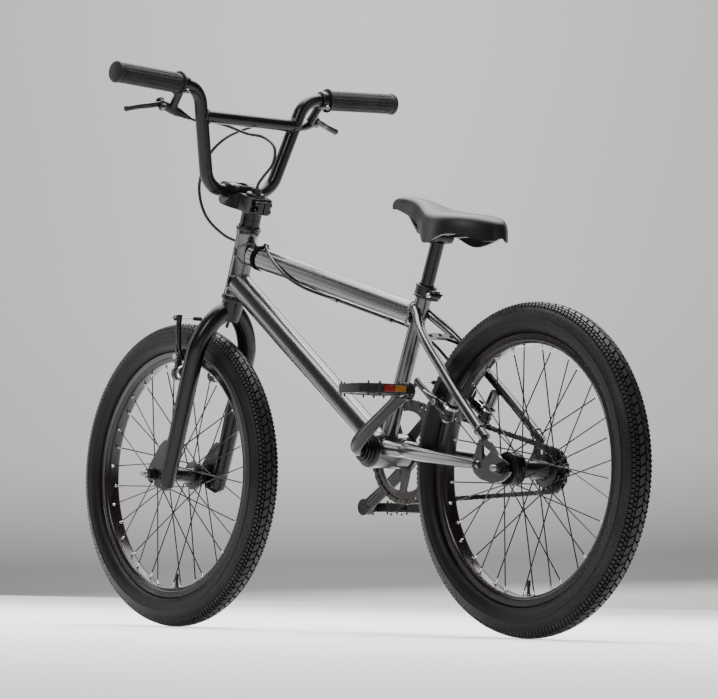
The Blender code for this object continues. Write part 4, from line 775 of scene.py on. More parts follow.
def tread_blocks(centre):
    """Rows of blocks: chevrons of big ones in the middle, two narrow bands, then fine shoulder bars."""
    points, faces = [], []

    def block(y_low, y_high, angle, span, slant, depth):
        corners = []
        for y in (y_low, (y_low + y_high) / 2, y_high):
            for end in (-0.5, 0.5):
                turn = angle + span * end + slant * abs(y)
                corners.append((y, turn))
        base = len(points)
        for lift, shrink in ((-depth, 0.0), (0.0, 0.32)):
            for index, (y, turn) in enumerate(corners):
                across = (y_low + y_high) / 2
                y_in = y + (across - y) * shrink / max(1e-6, abs(y_high - y_low) / 2)
                radius = crown_radius(y) + lift
                step = shrink / radius * (1 if index % 2 == 0 else -1)
                points.append(centre + Vector((radius * math.cos(turn + step), y_in, radius * math.sin(turn + step))))
        rim = [0, 1, 3, 5, 4, 2]
        for k in range(6):
            a, b = rim[k], rim[(k + 1) % 6]
            faces.append([base + a, base + b, base + 6 + b, base + 6 + a])
        for low in (0, 6):
            faces.append([base + low + k for k in (0, 1, 3, 2)])
            faces.append([base + low + k for k in (2, 3, 5, 4)])

    pitch = math.tau / CENTRE_BLOCKS
    for index in range(CENTRE_BLOCKS):
        for side in (1, -1):
            phase = pitch * (index + (0.0 if side == 1 else 0.5))
            block(0.9 * side, 9.5 * side, phase, pitch * 0.82, 0.0025, 3.6)
            for half in (0.25, 0.75):
                fine = phase + pitch * (half - 0.25)
                block(11.3 * side, 14.2 * side, fine, pitch * 0.36, 0.0, 3.8)
                block(15.8 * side, 18.5 * side, fine + pitch * 0.25, pitch * 0.36, 0.0, 3.8)
    shoulder = pitch / 4
    for index in range(int(math.tau / shoulder)):
        for side in (1, -1):
            angle = shoulder * index
            base = len(points)
            wide = shoulder * 0.29
            line = ((19.5, 1.3), (21.5, 1.3), (23.6, 1.1), (25.7, 0.7))
            for y, lift in line:
                radius = shoulder_radius(y) + lift
                for end in (-1, 1):
                    for depth in (0.0, -2.2):
                        turn = angle + wide * end
                        points.append(centre + Vector(((radius + depth) * math.cos(turn), (y + 0.25 * depth) * side,
                                                       (radius + depth) * math.sin(turn))))
            for k in range(len(line) - 1):
                a, b = base + 4 * k, base + 4 * (k + 1)
                faces += [[a, a + 2, b + 2, b], [a + 1, b + 1, b + 3, a + 3], [a, b, b + 1, a + 1],
                          [a + 2, a + 3, b + 3, b + 2]]
            last = base + 4 * (len(line) - 1)
            faces += [[base, base + 1, base + 3, base + 2], [last, last + 2, last + 3, last + 1]]
    return solid(points, faces)


def shoulder_radius(y):
    """The carcass's own radius on its shoulder."""
    line = ((18.0, 248.0), (19.0, 247.0), (22.0, 243.4), (24.2, 239.4), (25.6, 235.6), (26.2, 233.2))
    for (y_low, r_low), (y_high, r_high) in zip(line, line[1:]):
        if y <= y_high:
            return r_low + (r_high - r_low) * (y - y_low) / (y_high - y_low)
    return line[-1][1]


def around(centre, angle, radius, y):
    return centre + Vector((radius * math.cos(angle), y, radius * math.sin(angle)))


def build_wheel(end, centre, flanges, flange_r, hub_profile):
    body = f"{end}_wheel"
    sideways = Vector((0, 1, 0))
    tyre = lathe(tyre_profile(), centre, sideways, 180)
    carcass = piece(f"{end}_tyre_fine", tyre, SIDEWALL, body, "tyre_rubber", f"{end}_tyre", smooth_angle=50)
    # Carcass faces under the tread, at the floor of the grooves, take the painted shade.
    carcass.data.materials.append(GROOVE_SHADE_AND_STRAP_BLACK)
    for face in carcass.data.polygons:
        offset = face.center / MM - centre
        if abs(offset.y) < 19.0 and math.hypot(offset.x, offset.z) > 246.0:
            face.material_index = 1
    piece(f"{end}_tyre_tread", tread_blocks(centre), RUBBER, body, "tyre_rubber", smooth_angle=20)

    half = [(12.6, RIM_R - 0.3), (13.2, RIM_R), (14.2, RIM_R), (15.0, RIM_R - 0.8), (15.0, 206.8), (14.4, 206.2),
            (14.4, 200.4), (15.0, 199.6), (14.9, 198.4), (12.6, 195.0), (9.6, 193.0), (5.0, RIM_INNER_R + 0.1)]
    back = [(-6.0, 198.0), (6.0, 198.0), (12.6, 202.5)]
    rim = [*half, *[(-y, r) for y, r in half[::-1]], (-12.6, 202.5), *back]
    piece(f"{end}_rim_fine", lathe(rim, centre, sideways, 180), RIM_ALLOY, body, "rim_alloy", f"{end}_rim")

    valve = [(168.5, 0), (168.5, 2.4), (169.4, 3.0), (176.5, 3.0), (177, 3.2), (178, 3.2), (178.6, 2.4), (186, 2.4),
             (187, 2.9), (197, 2.9), (197, 0)]
    valve = lathe(valve, centre, (0, 0, -1), 20)
    nut = lathe([(189.6, 2.5), (189.6, 5.6), (191.8, 5.6), (191.8, 2.5)], centre, (0, 0, -1), 6)
    piece(f"{end}_valve_stem", valve, JACKET, body, "tube_rubber", f"{end}_inner_tube")
    piece(f"{end}_valve_nut", nut, ZINC, body, "steel")

    hub = lathe(hub_profile, centre, sideways, 72)
    piece(f"{end}_hub_fine", hub, BLACK_ALLOY, body, "black_alloy", f"{end}_hub")
    for side, name in LEFT_AND_RIGHT:
        spokes, nipples = build_spokes(centre, side, flanges[0 if side == 1 else 1], flange_r)
        piece(f"{end}_spokes_{name}_fine", spokes, SPOKE, body, "black_steel", f"{end}_spokes_{name}")
        piece(f"{end}_nipples_{name}", nipples, STEEL, body, "steel")


def build_spokes(centre, side, flange_y, flange_r):
    """Spokes with heads and elbows at the flange, alternately from its outer and its inner face, and their nipples."""
    step = math.tau / SPOKES_PER_SIDE
    start_offset = step / 4 if side == 1 else 3 * step / 4
    spokes, nipples = [], []
    for lean in (1, -1):
        for index in range(SPOKES_PER_SIDE // 2):
            hub_angle = start_offset + (2 * index + (0 if lean == 1 else 1)) * step
            rim_angle = hub_angle + lean * 3 * step
            outer = side * (2.6 if lean == 1 else -2.6)
            elbow = around(centre, hub_angle, flange_r - 3.0, flange_y + outer)
            through = around(centre, hub_angle, flange_r - 3.0, flange_y - outer)
            end = around(centre, rim_angle, RIM_INNER_R + 2.0, side * 3.0)
            way = (end - elbow).normalized()
            bends = [through, (through + elbow) / 2, elbow + way * 1.5, elbow + way * 9, end]
            spokes.append(sweep(curved(bends, 3), 1.05, 8, side=Vector((1, 0, 0))))
            spokes.append(rod(through, through - (elbow - through).normalized() * 1.1, 1.9, 10))
            inner = end - way * 2.0
            nipples.append(lathe([(-8.5, 0), (-8.5, 1.2), (-8, 1.5), (-2.4, 1.5), (-1.6, 2.4), (1.5, 2.4), (1.5, 0)],
                                 inner, way, 12))
    return joined(*spokes), joined(*nipples)


def build_dust_rings():
    """The ridged guard at the left of the rear hub."""
    profile = [(35, 15), (35, 24.5)]
    along = 36.0
    while along < 49:
        profile += [(along, 25.8), (along + 1.4, 25.8), (along + 1.8, 23.6), (along + 2.6, 23.6)]
        along += 3.0
    profile += [(50.2, 22.5), (50.2, 15)]
    ring = lathe(profile, REAR_AXLE, (0, 1, 0), 64)
    piece("rear_hub_dust_ring", ring, BLACK_STEEL, "rear_wheel", "black_steel")


def build_axles():
    for end, axle, body, inner, outer in (("front", FRONT_AXLE, "steering", 50.8, 56.8),
                                           ("rear", REAR_AXLE, "frame", 55.3, 60.3)):
        profile = [(-80, 0), (-80, 4.0), (-79, 5.0)]
        along = -78.0
        while along < 78:
            if abs(along) > 56:
                profile += [(along, 5.0), (along + 0.6, 4.55), (along + 1.2, 5.0)]
            along += 1.3
        profile += [(79, 5.0), (80, 4.0), (80, 0)]
        rod_part = lathe(profile, axle, (0, 1, 0), 28)
        collars = []
        for side in (1, -1):
            hub_end = 46.4 if end == "front" else (50.6 if side == 1 else 52.4)
            collars.append(rod(axle + Vector((0, side * hub_end, 0)),
                               axle + Vector((0, side * (inner - 0.2), 0)), 8.5, 6))
        piece(f"{end}_axle_fine", joined(rod_part, *collars), ZINC, body, "steel", f"{end}_axle")
        for side, name in LEFT_AND_RIGHT:
            first = outer + 0.3
            flange = lathe([(first, 5.2), (first, 11.5), (first + 1.2, 11.5), (first + 1.8, 9.0), (first + 1.8, 5.2)],
                           axle, (0, side, 0), 40)
            nut = lathe([(first + 1.6, 5.2), (first + 1.6, 9.2), (first + 10.4, 9.2), (first + 12.0, 7.9),
                         (first + 12.5, 6.6), (first + 12.5, 5.2)], axle, (0, side, 0), 6)
            piece(f"{end}_axle_nut_{name}_fine", joined(flange, nut), BLACK_STEEL, body, "black_steel",
                  f"{end}_axle_nut_{name}", smooth_angle=20)


# ---- cranks, chain and pedals ------------------------------------------------------------------------
ARM_Y = 80.0


def crank_end(side):
    name = "left" if side == 1 else "right"
    return pivot_of(f"pedal_{name}_spin")


def crank_direction(side):
    way = crank_end(side) - BB_CENTRE
    return Vector((way.x, 0, way.z)).normalized()


def sprocket_outline(centre, teeth):
    pitch_r = CHAIN_PITCH / (2 * math.sin(math.pi / teeth))
    outline = []
    for tooth in range(teeth):
        middle = math.pi / 2 + math.pi / teeth + math.tau * tooth / teeth
        half = math.pi / teeth
        for turn, radius in ((-0.95, pitch_r - 4.0), (-0.62, pitch_r - 3.2), (-0.42, pitch_r - 0.6),
                             (-0.26, pitch_r + 2.2), (-0.10, pitch_r + 3.7), (0.10, pitch_r + 3.7), (0.26, pitch_r + 2.2),
                             (0.42, pitch_r - 0.6), (0.62, pitch_r - 3.2)):
            angle = middle + half * turn
            outline.append((centre.x + radius * math.cos(angle), centre.z + radius * math.sin(angle)))
    return outline


def build_crank():
    line = []
    for side in (-1, 1):
        way, end = crank_direction(side), crank_end(side)
        half = [(end - way * 3, 11.6, 7.5), (BB_CENTRE + way * 110 + Vector((0, 79 * side, 0)), 10.5, 7.0),
                (BB_CENTRE + way * 55 + Vector((0, 76 * side, 0)), 12.0, 7.5),
                (BB_CENTRE + way * 24 + Vector((0, 72 * side, 0)), 12.8, 8.5),
                (BB_CENTRE + way * 8 + Vector((0, 64 * side, 0)), 12.4, 11.0),
                (BB_CENTRE + way * 1.0 + Vector((0, 54 * side, 0)), SPINDLE_R, SPINDLE_R),
                (BB_CENTRE + Vector((0, 44 * side, 0)), SPINDLE_R, SPINDLE_R)]
        line.append(half if side == -1 else half[::-1])
    stations = [*line[0], *line[1]]
    normal = crank_direction(1).cross(Vector((0, 1, 0))).normalized()
    one = sweep(curved([station[0] for station in stations]), smooth_numbers([station[1] for station in stations]), 40,
                side=normal, squash=smooth_numbers([station[2] for station in stations]))
    bosses = []
    for side in (1, -1):
        end = crank_end(side)
        bosses.append(rod(end - Vector((0, 7.5, 0)), end + Vector((0, 7.5, 0)), 14.0, 40, chamfer=1.2))
    piece("crank_fine", joined(one, *bosses), BLACK_PAINT, "crank", "black_paint", "crank")

    ring = plate(sprocket_outline(BB_CENTRE, RING_TEETH), CHAIN_Y - 1.5, CHAIN_Y + 1.5, lambda u, v, w: (u, w, v))
    for index in range(5):
        angle = math.radians(18) + math.tau * index / 5
        ring = cut(ring, ring_window(angle))
    piece("chainring_fine", ring, RING, "crank", "chain_steel", "chainring", bevel=0.35)
    rim = lathe([(-1.2, 67.4), (-2.6, 68.4), (-2.6, 71.2), (-1.2, 72.2), (1.2, 72.2), (2.6, 71.2), (2.6, 68.4),
                 (1.2, 67.4)], BB_CENTRE + Vector((0, CHAIN_Y, 0)), (0, 1, 0), 100)
    hub = lathe([(-3.5, 12.2), (-3.5, 21), (-2.2, 23), (2.2, 23), (3.5, 21), (3.5, 12.2)],
                BB_CENTRE + Vector((0, CHAIN_Y, 0)), (0, 1, 0), 48)
    peg = BB_CENTRE + crank_direction(-1) * 31 + Vector((0, -66, 0))
    drive = rod(peg, Vector((peg.x, CHAIN_Y - 1, peg.z)), 4.5, 20)
    piece("chainring_pressed_rim", joined(rim, hub, drive), RING, "crank", "chain_steel")


def ring_window(angle):
    """A rounded opening between two curved arms of the chainring."""
    half = math.radians(28.5)
    outline = []
    for step in range(13):
        turn = -half + 2 * half * step / 12
        outline.append((65.5 - 2.2 * abs(turn / half) ** 4, angle + turn + 0.10))
    for step in range(7):
        turn = half * 0.52 * (1 - step / 3)
        outline.append((27.5 + 4.5 * abs(turn / half) ** 1.5, angle + turn - 0.10))
    points = [(BB_CENTRE.x + r * math.cos(a), BB_CENTRE.z + r * math.sin(a)) for r, a in outline]
    return plate(rounded(points, 5, 3), CHAIN_Y - 5, CHAIN_Y + 5, lambda u, v, w: (u, w, v))


PEDAL_INNER = 95.0
PEDAL_OUTER = 194.0
PEDAL_HALF_X = 48.0
PEDAL_HALF_Z = 8.5


def build_pedals():
    for side, name in LEFT_AND_RIGHT:
        end = crank_end(side)
        base = Vector((end.x, 0, end.z))
        axle = lathe([(ARM_Y - 7.4, 0), (ARM_Y - 7.4, 6.6), (ARM_Y + 7.8, 6.6), (ARM_Y + 7.8, 9.4), (ARM_Y + 10.6, 9.4),
                      (ARM_Y + 11.0, 8.8), (ARM_Y + 11.0, 6.0), (PEDAL_OUTER - 6, 4.6), (PEDAL_OUTER - 6, 0)], base,
                     (0, side, 0), 32)
        piece(f"pedal_axle_{name}_fine", axle, ZINC, "crank", "steel", f"pedal_axle_{name}")
        x, inner, outer = PEDAL_HALF_X - 1.0, PEDAL_INNER, PEDAL_OUTER
        outline = [(-x, inner + 12), (-x + 10, inner), (x - 10, inner), (x, inner + 12), (x, outer - 20),
                   (x - 20, outer), (-x + 20, outer), (-x, outer - 20)]
        thick = PEDAL_HALF_Z - 1.2
        platform = plate(rounded([(end.x + u, v * side) for u, v in outline], 4), end.z - thick, end.z + thick,
                         lambda u, v, w: (u, v, w))
        for forward in (-1, 1):
            for low, high in ((inner + 8, inner + 40), (inner + 48, outer - 13)):
                window = box((end.x + forward * 24.5, (low + high) / 2 * side, end.z), (27, high - low, 40))
                platform = cut(platform, window)
            slot = box((end.x + forward * x, (inner + 26) * side, end.z), (7, 12, 6))
            platform = cut(platform, slot)
        barrel = rod((end.x, (inner - 1) * side, end.z), (end.x, (outer - 3) * side, end.z), 8.3, 32, chamfer=0.8)
        ribs = []
        for forward in (-1, 1):
            for along in (inner + 23, outer - 29):
                ribs.append(box((end.x + forward * 24.5, along * side, end.z), (27, 2.6, 2 * thick - 4)))
        body = f"pedal_{name}"
        piece(f"pedal_{name}_fine", platform, PLASTIC, body, "black_plastic", f"pedal_{name}", bevel=0.7)
        piece(f"pedal_{name}_barrel", joined(barrel, *ribs), PLASTIC, body, "black_plastic", bevel=0.4)
        pins = []
        for up in (1, -1):
            for forward in (-1, 1):
                spots = ((x - 3.5, inner + 15), (x - 3.5, inner + 36), (x - 3.5, outer - 25), (x - 13.5, outer - 10.5),
                         (x - 14, inner + 3.6))
                for u, v in spots:
                    foot = Vector((end.x + u * forward, v * side, end.z + (thick - 0.5) * up))
                    pins.append(rod(foot, foot + Vector((0, 0, 4.4 * up)), 1.7, 12, end_radius=1.35))
        piece(f"pedal_{name}_pins", joined(*pins), BLACK_STEEL, body, "steel")
        faces = ((1, "front"), (-1, "rear")) if side > 0 else ((1, "front"),)
        for forward, face in faces:
            middle = inner + 47
            for low, high, colour, mat in ((middle, middle + 22, "red", REFLECT_RED),
                                           (middle - 22, middle, "amber", REFLECT_AMBER)):
                lens = box((end.x + forward * (x + 0.7), (low + high) / 2 * side, end.z), (2.6, high - low - 0.3, 10.0))
                piece(f"pedal_{name}_reflector_{face}_{colour}", lens, mat, body, "black_plastic", bevel=0.5)


def chain_path():
    """The line through the chain's pins, a closed loop in the plane of the chain."""
    ring_r = CHAIN_PITCH / (2 * math.sin(math.pi / RING_TEETH))
    cog_r = CHAIN_PITCH / (2 * math.sin(math.pi / COG_TEETH))
    span = Vector((BB_CENTRE.x - REAR_AXLE.x, 0, BB_CENTRE.z - REAR_AXLE.z))
    slope = math.atan2(span.z, span.x)
    open_angle = math.acos((cog_r - ring_r) / span.length)
    top, bottom = slope + open_angle, slope - open_angle
    points = []
    for centre, radius, start, end in ((BB_CENTRE, ring_r, bottom, top), (REAR_AXLE, cog_r, top, bottom + math.tau)):
        for step in range(61):
            angle = start + (end - start) * step / 60
            points.append(Vector((centre.x + radius * math.cos(angle), CHAIN_Y, centre.z + radius * math.sin(angle))))
    return points


def at_length(points, lengths, distance):
    """The point on a closed line that is a distance along it."""
    distance %= lengths[-1]
    for index in range(len(points)):
        if distance <= lengths[index + 1]:
            share = (distance - lengths[index]) / (lengths[index + 1] - lengths[index])
            return points[index].lerp(points[(index + 1) % len(points)], share)
    return points[0]


def build_chain():
    points = chain_path()
    lengths = [0.0]
    for point, after in zip(points, [*points[1:], points[0]]):
        lengths.append(lengths[-1] + (after - point).length)
    links = round(lengths[-1] / CHAIN_PITCH / 2) * 2
    pitch = lengths[-1] / links
    pins = [at_length(points, lengths, pitch * index) for index in range(links)]
    plates, rollers = [], []
    for index, (start, end) in enumerate(zip(pins, [*pins[1:], pins[0]])):
        along = (end - start).normalized()
        across = Vector((-along.z, 0, along.x))
        length = (end - start).length
        outline = []
        for centre, first, last in ((length, -70, 70), (0.0, 110, 250)):
            for step in range(8):
                angle = math.radians(first + (last - first) * step / 7)
                outline.append((centre + 4.1 * math.cos(angle), 4.1 * math.sin(angle)))
            waist = length / 2
            outline.append((waist, 3.0 if centre else -3.0))
        outer = index % 2 == 0
        for side in (1, -1):
            low, high = ((3.25, 4.0) if outer else (2.35, 3.1))
            plates.append(plate(outline, low * side, high * side,
                                lambda u, v, w: start + along * u + across * v + Vector((0, w, 0))))
        rollers.append(rod(start - Vector((0, 2.2, 0)), start + Vector((0, 2.2, 0)), 3.9, 14))
        rollers.append(rod(start - Vector((0, 4.5, 0)), start + Vector((0, 4.5, 0)), 1.8, 10))
    piece("chain_plates", joined(*plates), CHAIN, "frame", "chain_steel", "chain")
    piece("chain_rollers", joined(*rollers), CHAIN, "frame", "chain_steel")


def build_freewheel():
    cog = plate(sprocket_outline(REAR_AXLE, COG_TEETH), CHAIN_Y - 1.5, CHAIN_Y + 1.5, lambda u, v, w: (u, w, v))
    cog = cut(cog, rod(REAR_AXLE + Vector((0, CHAIN_Y - 5, 0)), REAR_AXLE + Vector((0, CHAIN_Y + 5, 0)), 18, 48))
    shell = lathe([(-51.5, 16.4), (-51.5, 20.4), (-51.0, 21.0), (-49.0, 23.6), (-48.4, 24.0), (-39.0, 24.0),
                   (-38.5, 23.6), (-36.8, 22.0), (-36.8, 16.4)], REAR_AXLE, (0, 1, 0), 64)
    piece("freewheel_fine", joined(cog, shell), CHAIN, "freewheel", "chain_steel", "freewheel", bevel=0.3)


def build_bottom_bracket():
    left = [(22, 12.4), (22, 25.2), (34.3, 25.2), (34.3, 27.2), (34.8, 27.6), (37.0, 27.6), (37.6, 26.6), (38.2, 23.4),
            (40.0, 23.2), (40.4, 21.4), (43.2, 21.4), (43.6, 20.8), (43.6, 12.4)]
    right = [(22, 12.4), (22, 25.2), (34.3, 25.2), (34.3, 27.4), (36.4, 27.4), (36.9, 26.5), (37.4, 20), (40.4, 20),
             (40.4, 12.4)]
    for side, name, profile in ((1, "left", left), (-1, "right", right)):
        cup = lathe(profile, BB_CENTRE, (0, side, 0), 72)
        piece(f"bottom_bracket_cup_{name}_fine", cup, BLACK_STEEL, "frame", "black_steel", f"bottom_bracket_cup_{name}")
    rings = []
    for along, radius in ((46.0, 19.5), (49.4, 17.6)):
        rings.append(lathe([(along, 11.6), (along, radius - 0.6), (along + 0.6, radius), (along + 2.0, radius),
                            (along + 2.6, radius - 0.6), (along + 2.6, 11.6)],
                            BB_CENTRE, (0, 1, 0), 6 if along > 49 else 48))
    piece("crank_lock_rings", joined(*rings), BLACK_STEEL, "crank", "black_steel")


# ---- rim brakes ------------------------------------------------------------------------------------
REAR_LIFT = Vector((0.843, 0, 0.538))
FRONT_LIFT = Vector((0.09, 0, 0.996))
PAD_GAP = 1.2


def mirrored_y(bm, factor):
    for vert in bm.verts:
        vert.co.y *= factor
    outward(bm)
    return bm


def build_brake(end, pivot_point, post_axis, lift, side, name, axle):
    """One arm, drawn as the right-hand one and mirrored for the left."""
    pivot = Vector((pivot_point.x, -pivot_point.y, pivot_point.z))
    across = Vector((0, -1, 0))
    body = f"{end}_brake_arm_{name}"
    half = ARM_WIDTH / 2
    barrel = lathe([(-half, POST_R + 0.2), (-half, 10), (-half + 1, 11), (-4, 11), (-3, 9.6), (3, 9.6), (4, 11),
                    (half - 1, 11), (half, 10), (half, POST_R + 0.2)], pivot, post_axis, 36)
    heights, leans = [7.7, 30, 55, 80, ARM_LENGTH], [1.0, 1.5, 0.5, -1.5, -4.0]
    points = [pivot + lift * up + across * out + post_axis * 3.2 for up, out in zip(heights, leans)]
    arm = sweep(curved(points), smooth_numbers([4.6, 4.6, 4.4, 4.2, 4.4]), 28, side=across,
                squash=smooth_numbers([8.5, 8.0, 6.5, 5.5, 6.0]))
    slot_low, slot_high = pivot + lift * 48, pivot + lift * 78
    groove = joined(rod(slot_low + across * 1 + post_axis * 8.4, slot_high - across * 1.4 + post_axis * 7.0, 2.4, 16))
    piece(f"{body}_fine", mirrored_y(joined(barrel, cut(arm, groove)), -side), BLACK_ALLOY, body, "black_alloy", body)

    pad_centre = pivot + lift * 28.5
    pad_inner = -(RIM_HALF + PAD_GAP)
    radial = Vector((pad_centre.x - axle.x, 0, pad_centre.z - axle.z)).normalized()
    along = Vector((radial.z, 0, -radial.x))
    up = along.cross(across)
    outline = rounded([(-24, -4.5), (24, -4.5), (26, 0), (24, 4.5), (-24, 4.5), (-26, 0)], 2)
    pad = plate(outline, 0, 9, lambda u, v, w: Vector((pad_centre.x, pad_inner - w, pad_centre.z)) + along * u + up * v)
    grooves = []
    for shift in (-12, 0, 12):
        place = Vector((pad_centre.x, pad_inner, pad_centre.z)) + along * shift
        grooves.append(box(place, (1.6, 3.0, 14), Matrix((along, (0, 1, 0), up)).transposed()))
    pad = cut(pad, *grooves)
    piece(f"{body}_pad", mirrored_y(pad, -side), RUBBER, body, "black_alloy", bevel=0.4)
    holder = joined(rod(Vector((pad_centre.x, pad_inner - 8.6, pad_centre.z)), pad_centre + across * 9, 3.0, 20),
                    rod(pad_centre - across * 6.5, pad_centre - across * 3.4, 7.6, 28, chamfer=0.6),
                    rod(pad_centre + across * 5.4, pad_centre + across * 8.0, 7.4, 28, chamfer=0.6))
    piece(f"{body}_pad_washers", mirrored_y(holder, -side), BLACK_STEEL, body, "black_alloy")
    nut = lathe([(0, 0), (0, 5.3), (4.4, 5.3), (5.0, 4.6), (5.0, 0)], pad_centre + across * 8.0, across, 6)
    front_face = pivot + post_axis * (ARM_WIDTH / 2)
    bolt = lathe([(0, 0), (0, 7.2), (1.0, 7.2), (1.2, 5.6), (4.6, 5.6), (5.4, 4.8), (5.4, 2.6), (2.4, 2.4), (2.4, 0)],
                 front_face, post_axis, 28)
    top = pivot + lift * (ARM_LENGTH - 4) - across * 3.7 + post_axis * 3.0
    clamp = lathe([(0, 0), (0, 4.6), (3.2, 4.6), (3.8, 4.0), (3.8, 2.2), (2, 2.0), (2, 0)],
                  top + post_axis * 5.5 + across * 4,
                  post_axis, 20)
    piece(f"{body}_bolts", mirrored_y(joined(nut, bolt, clamp), -side), ZINC, body, "steel")

    coil_radius, turns, count = 9.0, 2.5, 60
    spring = []
    start = pivot - post_axis * (ARM_WIDTH / 2 - 2.0)
    for step in range(count + 1):
        share = step / count
        angle = math.tau * turns * share
        spring.append(start + (lift * math.cos(angle) + across * math.sin(angle)) * (coil_radius + 2.6)
                      + post_axis * (4.2 * share))
    tail = spring[-1]
    spring += [tail + lift * 18 - across * 1.5, pivot + lift * 56 + across * 6.4 - post_axis * 1.0,
               pivot + lift * 66 + across * 5.4 + post_axis * 0.5]
    piece(f"{body}_spring", mirrored_y(sweep(spring, 0.85, 8), -side), STEEL, body, "steel")


# ---- saddle and seat post -----------------------------------------------------------------------------
SADDLE_STATIONS = (
    # x, half width, top height, skirt height, thickness
    (-116.5, 6.0, 687.0, 680.0, 99.0), (-121.0, 12.5, 691.0, 677.0, 99.0), (-134.0, 17.5, 695.5, 675.5, 99.0),
    (-146.0, 19.0, 696.5, 672.5, 9.0), (-168.0, 20.5, 693.5, 664.0, 9.0), (-192.0, 25.0, 687.5, 652.5, 9.0),
    (-214.0, 34.5, 679.0, 637.5, 9.0), (-234.0, 47.0, 672.5, 621.5, 9.0), (-252.0, 56.0, 668.5, 612.5, 9.0),
    (-278.0, 61.5, 664.5, 617.0, 9.0), (-304.0, 60.0, 660.5, 623.5, 9.0), (-328.0, 49.5, 657.0, 622.5, 9.0),
    (-348.0, 36.0, 652.0, 615.5, 9.0), (-363.0, 22.0, 645.0, 611.5, 9.0), (-371.5, 10.0, 636.5, 613.0, 99.0))
SECTION = ((1.0, 0.0), (1.0, 0.35), (0.97, 0.66), (0.84, 0.88), (0.55, 0.98), (0.2, 1.0))


def saddle_section(x, half, top, skirt, thickness):
    """The outside from the left skirt over the top to the right, then back inside."""
    def arch(width, high, low):
        left = [(width * u, low + (high - low) * v) for u, v in SECTION]
        return left + [(-y, z) for y, z in left[::-1]]

    deep = thickness > 50
    inner_high = skirt + 0.6 if deep else top - thickness
    inner_half = half * 0.8 if deep else half - 5.5
    outer, inner = arch(half, top, skirt), arch(inner_half, inner_high, skirt)
    return [(x, y, z) for y, z in outer + inner[::-1]]


def build_saddle():
    rings = [saddle_section(*station) for station in SADDLE_STATIONS]
    count = len(rings[0])
    smooth_rings = [curved([ring[index] for ring in rings], 3) for index in range(count)]
    length = len(smooth_rings[0])
    verts = [smooth_rings[index][ring] for ring in range(length) for index in range(count)]
    faces = [list(range(count)), list(range(len(verts) - count, len(verts)))]
    for ring in range(length - 1):
        for step in range(count):
            turn = (step + 1) % count
            low, high = ring * count, (ring + 1) * count
            faces.append([low + step, low + turn, high + turn, high + step])
    shell = solid(verts, faces)
    crease = shell.edges.layers.float.new("crease_edge")
    lip = (0, 2 * len(SECTION) - 1, 2 * len(SECTION), count - 1)
    shell.verts.ensure_lookup_table()
    for ring in range(length - 1):
        for index in lip:
            ends = {shell.verts[ring * count + index], shell.verts[(ring + 1) * count + index]}
            for edge in shell.verts[ring * count + index].link_edges:
                if set(edge.verts) == ends:
                    edge[crease] = 0.8
    piece("saddle_fine", shell, VINYL, "saddle", "saddle_cover", "saddle", smooth_angle=70, subdivide=1)

    rails = []
    for side in (1, -1):
        line = sided(side, [(-150, 0.8, 671), (-153, 6, 670.5), (-164, 9.5, 664), (-190, 17, 642), (-204, 20.5, 634),
                            (-240, 20.5, 630), (-280, 22, 630), (-318, 24, 634), (-338, 20, 637)])
        rails.append(sweep(curved(line), 3.5, 24))
        rails.append(rod(SADDLE_PIVOT + Vector((0, 16.4 * side, 0)),
                         SADDLE_PIVOT + Vector((0, 25.0 * side, 0)), 11.0, 40,
                         chamfer=1.0))
    piece("saddle_rails_fine", joined(*rails), BLACK_STEEL, "saddle", "black_steel", "saddle_rails")


def build_seat_post():
    tube = rod(seat(165), seat(350), SEAT_POST_R, 48)
    core = rod(SADDLE_PIVOT - Vector((0, 16.0, 0)), SADDLE_PIVOT + Vector((0, 16.0, 0)), 12.0, 48, chamfer=0.8)
    pin = rod(SADDLE_PIVOT - Vector((0, 27.0, 0)), SADDLE_PIVOT + Vector((0, 27.0, 0)), 3.5, 24)
    piece("seat_post_fine", joined(tube, core, pin), BLACK_PAINT, "seat_post", "black_paint", "seat_post")
    nuts = []
    for side in (1, -1):
        foot = SADDLE_PIVOT + Vector((0, 25.2 * side, 0))
        nuts.append(lathe([(0, 0), (0, 8.2), (1.0, 8.2), (1.2, 7.0), (3.6, 7.0), (4.0, 6.0), (4.0, 0)], foot,
                          (0, side, 0), 6))
    piece("saddle_clamp_nuts", joined(*nuts), ZINC, "seat_post", "steel", smooth_angle=20)

    collar = lathe([(258, SEAT_TUBE_R + 0.3), (258, 16.4), (258.6, 17), (261.5, 17), (262.2, 16.3), (273, 16.3),
                    (273.8, 17), (277.4, 17), (278, 16.4), (278, 13.0), (SEAT_TUBE_TOP + 0.4, 13.0),
                    (SEAT_TUBE_TOP + 0.4, SEAT_TUBE_R + 0.3)], SEAT_BASE, SEAT_UP, 64)
    turn = Matrix((Vector((SEAT_UP.z, 0, -SEAT_UP.x)), (0, 1, 0), SEAT_UP)).transposed()
    collar = cut(collar, box(seat(268, -17), (18, 1.8, 40), turn))
    piece("seat_clamp_fine", collar, BLACK_ALLOY, "frame", "black_alloy", "seat_clamp")
    ears = cut(box(seat(267, -20.5), (12, 16.6, 16.4), turn), box(seat(267, -22), (20, 1.8, 20), turn))
    barrel = rod(seat(267, -24, -10.8), seat(267, -24, 10.8), 5.2, 28, chamfer=0.6)
    piece("seat_clamp_ears", joined(ears, barrel), BLACK_ALLOY, "frame", "black_alloy", bevel=1.4)
    bolt = joined(hexagon_bolt(seat(267, -24, 10.6), (0, 1, 0), 4.3, 3.8),
                  rod(seat(267, -24, -10.6), seat(267, -24, -15.5), 4.0, 6))
    piece("seat_clamp_bolt", bolt, STEEL, "frame", "steel")


# ---- cables ---------------------------------------------------------------------------------------------
JACKET_R = 2.5
WIRE_R = 0.8


